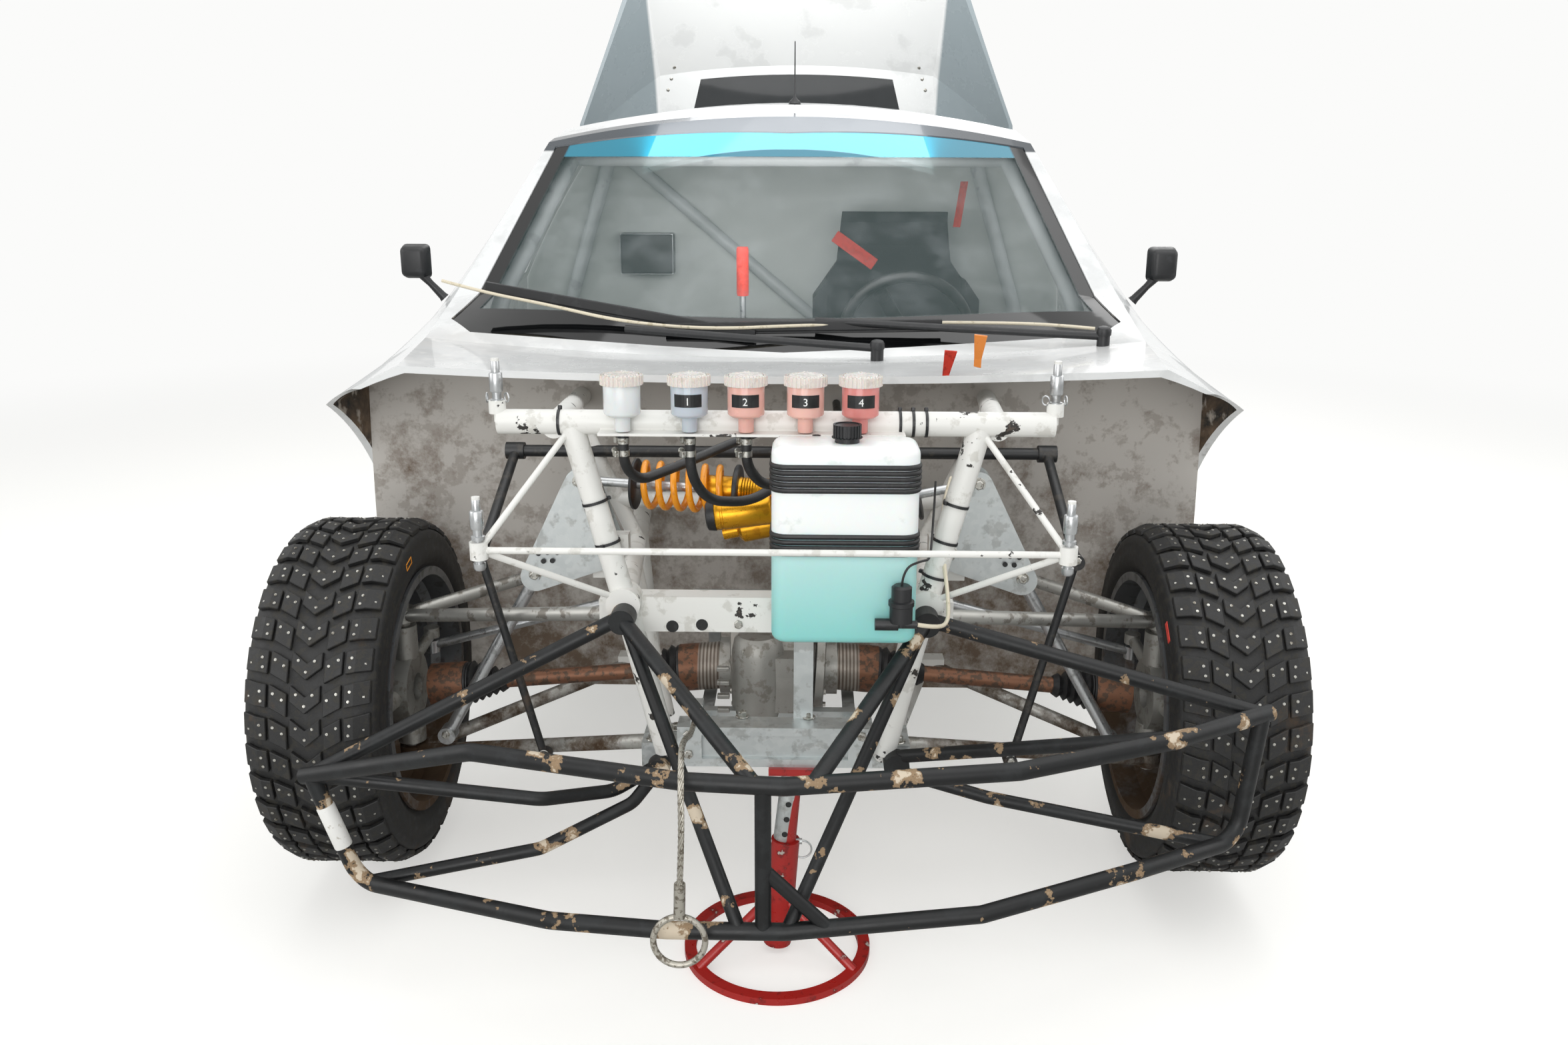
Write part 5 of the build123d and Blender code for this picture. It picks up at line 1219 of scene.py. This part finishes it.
tank = tank_block("washer_tank_blown", TANK_LOW, TANK_HIGH, 0.024, 0.013)
hand_over(tank, "chassis", FINISH["tank"])
clear_selection()
bpy.ops.mesh.primitive_cylinder_add(vertices=36, radius=0.018, depth=0.012, location=place(107, -380, 918))
neck = named("tank_neck")
clear_selection()
bpy.ops.mesh.primitive_cylinder_add(vertices=48, radius=0.0208, depth=0.018, location=place(107, -380, 932.5))
cap = named("tank_cap")
bake_place(cap)
choose(cap, lambda face: abs(face.normal.z) < 0.1 and face.index % 2 == 0, "FACE")
bpy.ops.mesh.inset(thickness=0.0003, use_individual=True)
bpy.ops.transform.shrink_fatten(value=-0.0011)
choose(cap, lambda face: face.normal.z > 0.9, "FACE")
bpy.ops.mesh.inset(thickness=0.003)
bpy.ops.mesh.extrude_region_move(TRANSFORM_OT_translate={"value": (0, 0, -0.0015)})
bpy.ops.object.mode_set(mode="OBJECT")
hand_over(joined("tank_cap_and_neck", [cap, rounded(neck, 0.001)]), "chassis",
          FINISH["plastic"])
straps = []
for low in (847, 855.6, 864.2, 872.8, 881.4, 752, 760.6, 769.2, 777.8):
    high = low + 8.4
    band = tank_block("strap", (TANK_LOW[0] - 3, TANK_LOW[1] - 3, low),
                      (TANK_HIGH[0] + 3, TANK_HIGH[1] + 3, high), 0.026, 0.004)
    straps.append(band)
hand_over(joined("tank_straps", straps), "chassis", FINISH["hose"])

pump = turned("washer_pump", place(188, -440, 652), place(188, -440, 716),
              [(0.0, 8), (0.1, 8), (0.12, 17), (0.5, 17), (0.52, 19), (0.62, 19), (0.64, 15), (0.95, 15),
               (1.0, 11)])
outlet = turned("pump_foot", place(150, -440, 655), place(212, -440, 655),
                [(0.0, 9), (0.55, 9), (0.56, 6), (1.0, 6)])
hand_over(joined("washer_pump", [pump, outlet]), "chassis", FINISH["plastic"])
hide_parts("washer_tank")

# %% [markdown]
# Bonnet pins hold the missing nose. Each stands on its tube as a thin stem with a knurled
# sleeve, a thick nut and a rounded tip. They are turned parts: an outline of radii along the
# stem, spun about it. The outline is the same for the high and the low pins.

# %% Bonnet pins
PIN_OUTLINE = [(0.0, 6.2), (0.12, 6.2), (0.13, 10), (0.2, 10), (0.21, 7), (0.34, 7), (0.35, 9.4),
               (0.37, 10), (0.7, 10), (0.72, 9.2), (0.73, 6.4), (0.94, 6.4), (1.0, 3.5)]
pins = []
for hand in (1, -1):
    pins.append(turned("pin", place(hand * 425, -290, 944), place(hand * 425, -290, 1021.8), PIN_OUTLINE, 20))
    pins.append(turned("pin", place(hand * 425, -445, 772), place(hand * 425, -445, 844.8), PIN_OUTLINE, 20))
    pins.append(turned("pin_foot", place(hand * 425, -445, 752), place(hand * 425, -445, 735.2),
                       [(0.0, 6.3), (0.35, 6.3), (0.36, 9), (0.8, 9), (1.0, 7)], 20))
    for tilt, x in ((1, 440), (-1, 410)):
        clear_selection()
        bpy.ops.mesh.primitive_torus_add(major_segments=20, minor_segments=8, major_radius=0.007,
                                         minor_radius=0.0012, location=place(hand * x, -290, 962),
                                         rotation=(0.3 * tilt, pi / 2, 0.4))
        pins.append(named("clip_ring"))
hand_over(joined("bonnet_pin_sleeves", pins), "chassis", FINISH["machined"])

# %% [markdown]
# Hoses leave the cups through worm-drive clamps. A clamp is a band with a screw housing on one
# side, so one is made at the origin, from an open ring with thickness and a small screw, and
# copied to each hose end.

# %% Hose clamps
def hose_clamp(radius):
    """A worm drive clamp: a thin band with its screw's housing."""
    clear_selection()
    bpy.ops.mesh.primitive_cylinder_add(vertices=32, radius=radius, depth=0.009, end_fill_type="NOTHING")
    band = named("band")
    wall = band.modifiers.new("wall", "SOLIDIFY")
    wall.thickness = 0.0008
    wall.offset = 1.0
    apply_modifiers(band)
    clear_selection()
    bpy.ops.mesh.primitive_cube_add(size=1, location=(radius + 0.004, 0, 0))
    housing = named("housing")
    housing.scale = (0.007, 0.012, 0.010)
    bake_place(housing)
    rounded(housing, 0.0012)
    screw = copied(bolt, facing((0, -1, 0), (radius + 0.004, -0.006, 0)) @ Matrix.Scale(0.45, 4), "screw")
    return joined("clamp", [band, housing, screw])


clamp = hose_clamp(0.0084)
clamps = []
for x in (-229, -128, -43):
    clamps.append(copied(clamp, facing((0, 0, 1), place(x, -322, 903), -0.7)))
    clamps.append(copied(clamp, facing((0, 0, 1), place(x, -322, 884), 0.5)))
hand_over(joined("hose_clamps", clamps), "chassis", FINISH["bolt"])
drop(clamp)

# %% [markdown]
# Bolts tell the eye how big things are, so every bracket gets its real ones. The hexagon bolt
# made for the wheels is copied to a table of places, each with the way that its head faces.

# %% Bolts on the nose
BOLTS = [
    # x, station, height, facing, size; both sides where mirrored
    (345, -82, 775, (0, -1, 0), 1.1, True),
    (300, -84, 650, (0, -1, 0), 1.3, True),
    (430, -82, 605, (0, -1, 0), 1.0, True),
    (142, -300, 405, (0, -1, 0), 1.0, True),
    (142, -300, 370, (0, -1, 0), 1.0, True),
    (58, -300, 597, (0, -1, 0), 0.9, True),
    (52, -118, 478, (0, -1, 0), 0.8, False),
    (-58, -118, 478, (0, -1, 0), 0.8, False),
    (52, -118, 352, (0, -1, 0), 0.8, False),
    (-58, -118, 352, (0, -1, 0), 0.8, False),
    (55, -256, 422, (0, 0, 1), 1.0, True),
    (78, -290, 700, (0, -1, 0), 0.8, False),
    (206, -240, 372, (0, 0, 1), 1.1, True),
    (172, -200, 372, (0, 0, 1), 1.0, True),
    (612, -73, 292, (0, -1, 0), 1.0, True),
    (502, -173, 668, (0, -1, 0), 0.8, True),
    (410, -175, 302, (0, -1, 0), 0.8, True),
]
bolts = []
for x, station, height, way, size, mirrored in BOLTS:
    for hand in ((1, -1) if mirrored else (1,)):
        matrix = facing((way[0] * hand, way[1], way[2]), place(hand * x, station, height), 0.4 * x)
        bolts.append(copied(bolt, matrix @ Matrix.Scale(size, 4)))
hand_over(joined("nose_bolts", bolts), "chassis", FINISH["bolt"])

# %% [markdown]
# The white crossbeam and the rocker plates are drilled. From a metre or more away a drilled hole
# reads as a dark disc of shade, so each is one: a black disc of painted shade laid on the face,
# half a millimetre proud.

# %% Drilled holes
HOLES = [
    # x, station of the face, height, radius in millimetres
    (163.4, -300, 597, 10.0),
    (116.2, -300, 600, 9.6),
    (388, -84, 652, 4.5),
    (405, -84, 652, 4.5),
    (421, -84, 650, 4.5),
    (397, -84, 637, 4.5),
    (413, -84, 636, 4.5),
]
hole_shade_discs = []
for x, station, height, radius in HOLES:
    for hand in (1, -1):
        inside, outside = place(hand * x, station + 1, height), place(hand * x, station - 0.5, height)
        hole_shade_discs.append(turned("disc", inside, outside, [(0.0, radius), (1.0, radius)], 28))
# The discs are black: painted shade for the dark inside of each hole.
hand_over(joined("painted_hole_shade", hole_shade_discs), "chassis", FINISH["hose"])

# %% [markdown]
# A constant velocity joint is sealed by a rubber boot with folds, like a bellows. Its outline
# is a row of ridges and valleys that grow towards the joint, spun about the shaft.

# %% Driveshaft boots
def boot(start, end, small, large, folds):
    """A folded rubber boot from its small end on the shaft to its large end on the joint."""
    outline = [(0.0, small)]
    for fold in range(folds):
        share = (fold + 0.5) / folds
        size = small + (large - small) * share
        outline += [(share * 0.84 + 0.04, size + 4), (share * 0.84 + 0.04 + 0.42 / folds, size - 1)]
    outline += [(0.9, large - 3), (0.92, large), (1.0, large)]
    return turned("boot", start, end, outline, 36)


boots = []
for hand in (1, -1):
    for station, start_x, start_z, end_z in ((0, 106, 410, 364), (2500, 138, 350, 320)):
        inner, outer = place(hand * start_x, station, start_z), place(hand * 652, station, end_z)
        boots.append(boot(inner.lerp(outer, 0.30), inner.lerp(outer, 0.135), 17, 42, 5))
        boots.append(boot(inner.lerp(outer, 0.74), inner.lerp(outer, 0.885), 17, 38, 5))
hand_over(joined("driveshaft_boots", boots), "chassis", FINISH["hose"])

# %% [markdown]
# The wipers lie parked on the screen. The CAD has their posts and arms; what is added are the
# blades, each a long thin squeegee in a sprung holder, the caps on the posts, and the cream
# washer tube that runs along them. The tube is a bevelled curve, which suits thin hose.

# %% Wiper blades and washer tube
def thin_hose(name, points, radius):
    """A thin tube along a smooth line through nearly all of the points, given in millimetres."""
    piece = as_mesh(curve_object(name, "NURBS", [place(*point) for point in points], radius))
    return smooth(outwards(piece), 60)


BLADES = [
    # left end, right end on the screen
    ((-640, 515, 1064), (-60, 440, 972)),
    ((-250, 452, 985), (330, 448, 996)),
]
blade_parts = []
for left, right in BLADES:
    start, end = place(*left), place(*right)
    clear_selection()
    bpy.ops.mesh.primitive_cube_add(size=1)
    blade = named("blade")
    blade.scale = (0.012, 0.020, (end - start).length)
    bake_place(blade)
    choose(blade, lambda face: face.normal.y < -0.9, "FACE")
    bpy.ops.mesh.inset(thickness=0.004)
    bpy.ops.mesh.extrude_region_move(TRANSFORM_OT_translate={"value": (0, -0.006, 0)})
    bpy.ops.object.mode_set(mode="OBJECT")
    blade.data.transform(facing(end - start, (start + end) / 2))
    blade_parts.append(rounded(blade, 0.0015))
POST_CAP = [(0.0, 15), (0.6, 15), (0.9, 12), (1.0, 8)]
caps = []
for x, station, height in ((190, 345, 958), (655, 395, 982)):
    foot, top = place(x, station, height), place(x, station - 3, height + 16)
    caps.append(turned("cap", foot, top, POST_CAP, 24))
hand_over(joined("wiper_blades", blade_parts + caps), "chassis", FINISH["plastic"])
TUBE_ROUTE = [(-735, 520, 1075), (-640, 500, 1052), (-500, 470, 1030), (-340, 425, 1000),
              (-160, 424, 985), (40, 446, 992), (240, 452, 998), (430, 440, 1000), (560, 428, 998),
              (640, 410, 992)]
FINISH["cream_tube"] = layered("cream nylon washer tube", "#D9CFB8", "#BFB499", 0.3, 16, 0.35, grain=2,
                               bump=0.05)
hand_over(thin_hose("washer_tube", TUBE_ROUTE, 0.0035), "chassis", FINISH["cream_tube"])
PUMP_TUBE = [(212, -440, 655), (236, -432, 648), (262, -400, 640), (268, -350, 660),
             (262, -305, 720), (262, -262, 790), (285, -180, 815)]
hand_over(thin_hose("pump_tube", PUMP_TUBE, 0.0032), "chassis", FINISH["cream_tube"])
PUMP_WIRE = [(188, -440, 716), (190, -442, 742), (216, -436, 752), (232, -400, 742),
             (240, -340, 760), (246, -300, 800), (250, -270, 830)]
hand_over(thin_hose("pump_wire", PUMP_WIRE, 0.0018), "chassis", FINISH["hose"])

# %% [markdown]
# Small things that the eye looks for: the roof aerial, two coloured pull tags on the cowl, the
# blank white sleeve on the bumper's bent strut, and cable ties round the nose tubes.

# %% Aerial, tags, sleeve and ties
aerial = turned("aerial", place(12, 1250, 1478), place(12, 1262, 1634),
                [(0.0, 16), (0.04, 15), (0.1, 5), (0.14, 2.2), (0.98, 1.4), (1.0, 1.4)], 16)
hand_over(aerial, "chassis", FINISH["plastic"])


def tag(name, x, station, height, finish, turn):
    """A thin pull tag that narrows at its foot and bends back there."""
    clear_selection()
    bpy.ops.mesh.primitive_cube_add(size=1, location=place(x, station, height), rotation=(0.25, 0.1, turn))
    piece = named(name)
    piece.scale = (0.024, 0.004, 0.046)
    bake_place(piece)
    choose(piece, lambda face: face.normal.z < -0.6, "FACE")
    bpy.ops.transform.resize(value=(0.55, 1, 1))
    bpy.ops.mesh.extrude_region_move(TRANSFORM_OT_translate={"value": (0, 0.002, -0.016)})
    bpy.ops.object.mode_set(mode="OBJECT")
    return hand_over(rounded(piece, 0.001), "chassis", finish)


FINISH["orange_tag"] = layered("orange moulded tag", "#E58A3C", "#D0742A", 0.3, 20, 0.4, grain=2, bump=0.05)
tag("red_pull_tag", 308, 118, 962, FINISH["red_web"], 0.2)
tag("orange_pull_tag", 362, 108, 992, FINISH["orange_tag"], -0.2)

sleeve_low, sleeve_high = place(-672, -432, 275), place(-695, -432, 345)
sleeve = turned("bumper_sleeve", sleeve_low, sleeve_high,
                [(0.0, 13.2), (0.02, 14), (0.98, 14), (1.0, 13.2)], 24)
hand_over(sleeve, "chassis", FINISH["white_wrap"])

TIES = [
    # point on a tube, its direction, the tube's radius
    ((280, -296, 800), (74, 10, 278), 19.4),
    ((-280, -296, 800), (-74, 10, 278), 19.4),
    ((265, -299, 742), (74, 10, 278), 19.4),
    ((-262, -299, 735), (-74, 10, 278), 19.4),
    ((250, -301, 686), (74, 10, 278), 19.4),
    ((210, -290, 925), (1, 0, 0), 19.4),
    ((190, -290, 925), (1, 0, 0), 19.4),
    ((230, -290, 925), (1, 0, 0), 19.4),
    ((-330, -290, 925), (1, 0, 0), 19.4),
]
ties = []
for spot, way, radius in TIES:
    clear_selection()
    bpy.ops.mesh.primitive_cylinder_add(vertices=32, radius=radius / 1000, depth=0.0045,
                                        end_fill_type="NOTHING")
    tie = named("tie")
    wall = tie.modifiers.new("wall", "SOLIDIFY")
    wall.thickness = 0.0012
    wall.offset = 1.0
    apply_modifiers(tie)
    clear_selection()
    bpy.ops.mesh.primitive_cube_add(size=1, location=(radius / 1000 + 0.003, 0, 0))
    lock = named("lock")
    lock.scale = (0.006, 0.007, 0.006)
    bake_place(lock)
    head = rounded(lock, 0.001, 1)
    tie = joined("tie", [tie, head])
    tie.data.transform(facing(way, place(*spot), spot[2]))
    ties.append(tie)
hand_over(joined("cable_ties", ties), "chassis", FINISH["plastic"])
print("small parts ready")
drop(bolt)

# %% [markdown]
# The door mirrors are moulded housings on a short stalk, with the glass set back in their rear
# face. The front face is drawn in before the edges are rounded, as a mould would have it.

# %% Door mirrors
FINISH["mirror"] = layered("mirror glass", "#C9CED0", "#BFC5C8", 0.3, 60, 0.1, metal=1.0, grain=8, bump=0.01)
for side, hand in (("left", 1), ("right", -1)):
    clear_selection()
    bpy.ops.mesh.primitive_cube_add(size=1, location=place(hand * 878, 800, 1098))
    housing = named("housing")
    housing.scale = (0.070, 0.050, 0.084)
    bake_place(housing)
    choose(housing, lambda face: face.normal.y < -0.9, "FACE")
    bpy.ops.transform.resize(value=(0.8, 1, 0.8))
    bpy.ops.object.mode_set(mode="OBJECT")
    rounded(housing, 0.012, 4)
    choose(housing, lambda face: face.normal.y > 0.99, "FACE")
    bpy.ops.mesh.inset(thickness=0.003)
    bpy.ops.mesh.extrude_region_move(TRANSFORM_OT_translate={"value": (0, -0.004, 0)})
    bpy.ops.object.mode_set(mode="OBJECT")
    stalk = turned("stalk", place(hand * 816, 810, 1012), place(hand * 866, 800, 1070),
                   [(0.0, 12), (0.1, 10), (0.6, 8), (1.0, 11)], 20)
    pod = hand_over(joined("mirror_housing_" + side, [smooth(housing), stalk]), side + "_door",
                    FINISH["plastic"])
    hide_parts("mirror_" + side)
    clear_selection()
    bpy.ops.mesh.primitive_cube_add(size=1, location=place(hand * 878, 821.5, 1098))
    glass = named("mirror_glass_" + side)
    glass.scale = (0.038, 0.0012, 0.052)
    bake_place(glass)
    hand_over(rounded(glass, 0.0004, 1), side + "_door", FINISH["mirror"])

# %% [markdown]
# The stand's post is a drilled zinc tube that slides in the red stand, with a pin through it and
# a pull ring on the pin's end.

# %% Stand post
post_low, post_high = place(15, -280, 212), place(29, -280, 338)
post = turned("post", post_low, post_high, [(0.0, 17.2), (0.01, 17.6), (0.99, 17.6), (1.0, 17.2)], 40)
# The post's holes are black discs of painted shade, just proud of its face.
holes = []
for share in (0.12, 0.34, 0.56, 0.78):
    axis_point = post_low.lerp(post_high, share)
    inner, outer = axis_point + Vector((0, -0.0168, 0)), axis_point + Vector((0, -0.0179, 0))
    holes.append(turned("hole", inner, outer, [(0.0, 5), (1.0, 5)], 20))
pin = turned("pin", place(-18, -280, 205), place(46, -280, 205),
             [(0.0, 6), (0.02, 7.5), (0.1, 7.5), (0.11, 5), (1.0, 5)], 20)
clear_selection()
bpy.ops.mesh.primitive_torus_add(major_segments=28, minor_segments=8, major_radius=0.016, minor_radius=0.0016,
                                 location=place(46, -280, 190), rotation=(pi / 2, 0, 0))
hand_over(joined("stand_post", [post, pin, named("ring")]), "chassis", FINISH["zinc"])
hand_over(joined("stand_post_hole_shade", holes), "chassis", FINISH["hose"])

# %% [markdown]
# The screen shows little of the cabin: a red belt across the seat's shoulder, another hanging
# beside it, the black grip of the shift lever, the tall brake lever with its red grip, and a
# black box on the rear wall, which covers the plain CAD one.

# %% Belts, levers and box
BELTS = [
    # upper end, lower end, width in millimetres, and the turn that lays it flat to the front
    ((124, 1366, 1138), (236, 1358, 1060), 34, pi / 2),
    ((490, 1460, 1285), (470, 1440, 1160), 26, 0.0),
]
strips = []
for first, last, width, spin in BELTS:
    start, end = place(*first), place(*last)
    clear_selection()
    bpy.ops.mesh.primitive_cube_add(size=1)
    strip = named("strip")
    strip.scale = (width / 1000, 0.003, (end - start).length)
    bake_place(strip)
    strip.data.transform(facing(end - start, (start + end) / 2, spin))
    strips.append(rounded(strip, 0.001, 1))
hand_over(joined("seat_belts", strips), "chassis", FINISH["red_web"])
grip = turned("shift_grip", place(20, 976, 846), place(20, 967, 934),
              [(0.0, 15.2), (0.05, 16), (0.9, 16), (1.0, 12)], 28)
hand_over(grip, "chassis", FINISH["plastic"])
brake_lever = turned("brake_lever", place(-111, 940, 222), place(-111, 932, 1020),
                     [(0.0, 14), (0.02, 14), (0.03, 8), (1.0, 8)], 20)
hand_over(brake_lever, "chassis", FINISH["machined"])
brake_grip = turned("brake_grip", place(-111, 932, 1010), place(-111, 931, 1128),
                    [(0.0, 14), (0.05, 15), (0.95, 15), (1.0, 13)], 28)
hand_over(brake_grip, "chassis", FINISH["red_web"])

clear_selection()
bpy.ops.mesh.primitive_cube_add(size=1, location=place(-440, 1690, 1070))
box = named("bulkhead_box")
box.scale = (0.163, 0.064, 0.123)
bake_place(box)
hand_over(rounded(box, 0.008, 3), "chassis", FINISH["label"])

# %% [markdown]
# Three button screws a side hold the clam's window. Where they sit on the curved skin isn't worth
# working out by hand: a ray goes back from in front of the skin, and where it strikes it gives both
# the place of a screw and the way that its head faces.

# %% Window buttons
BUTTON = [(0.0, 7), (0.6, 6.6), (0.9, 4.5), (1.0, 2)]
skin = nodes["rear_clam"]
to_skin = skin.matrix_world.inverted()
buttons = []
for x, height in ((492, 1727), (508, 1686), (523, 1644)):
    for hand in (1, -1):
        start = to_skin @ place(hand * x, 2800, height)
        spot, normal = skin.ray_cast(start, to_skin.to_3x3() @ Vector((0, 1, 0)))[1:3]
        spot, normal = skin.matrix_world @ spot, skin.matrix_world.to_3x3() @ normal
        buttons.append(turned("button", spot - 0.001 * normal, spot + 0.003 * normal, BUTTON, 20))
hand_over(joined("window_buttons", buttons), "clam", FINISH["bolt"])
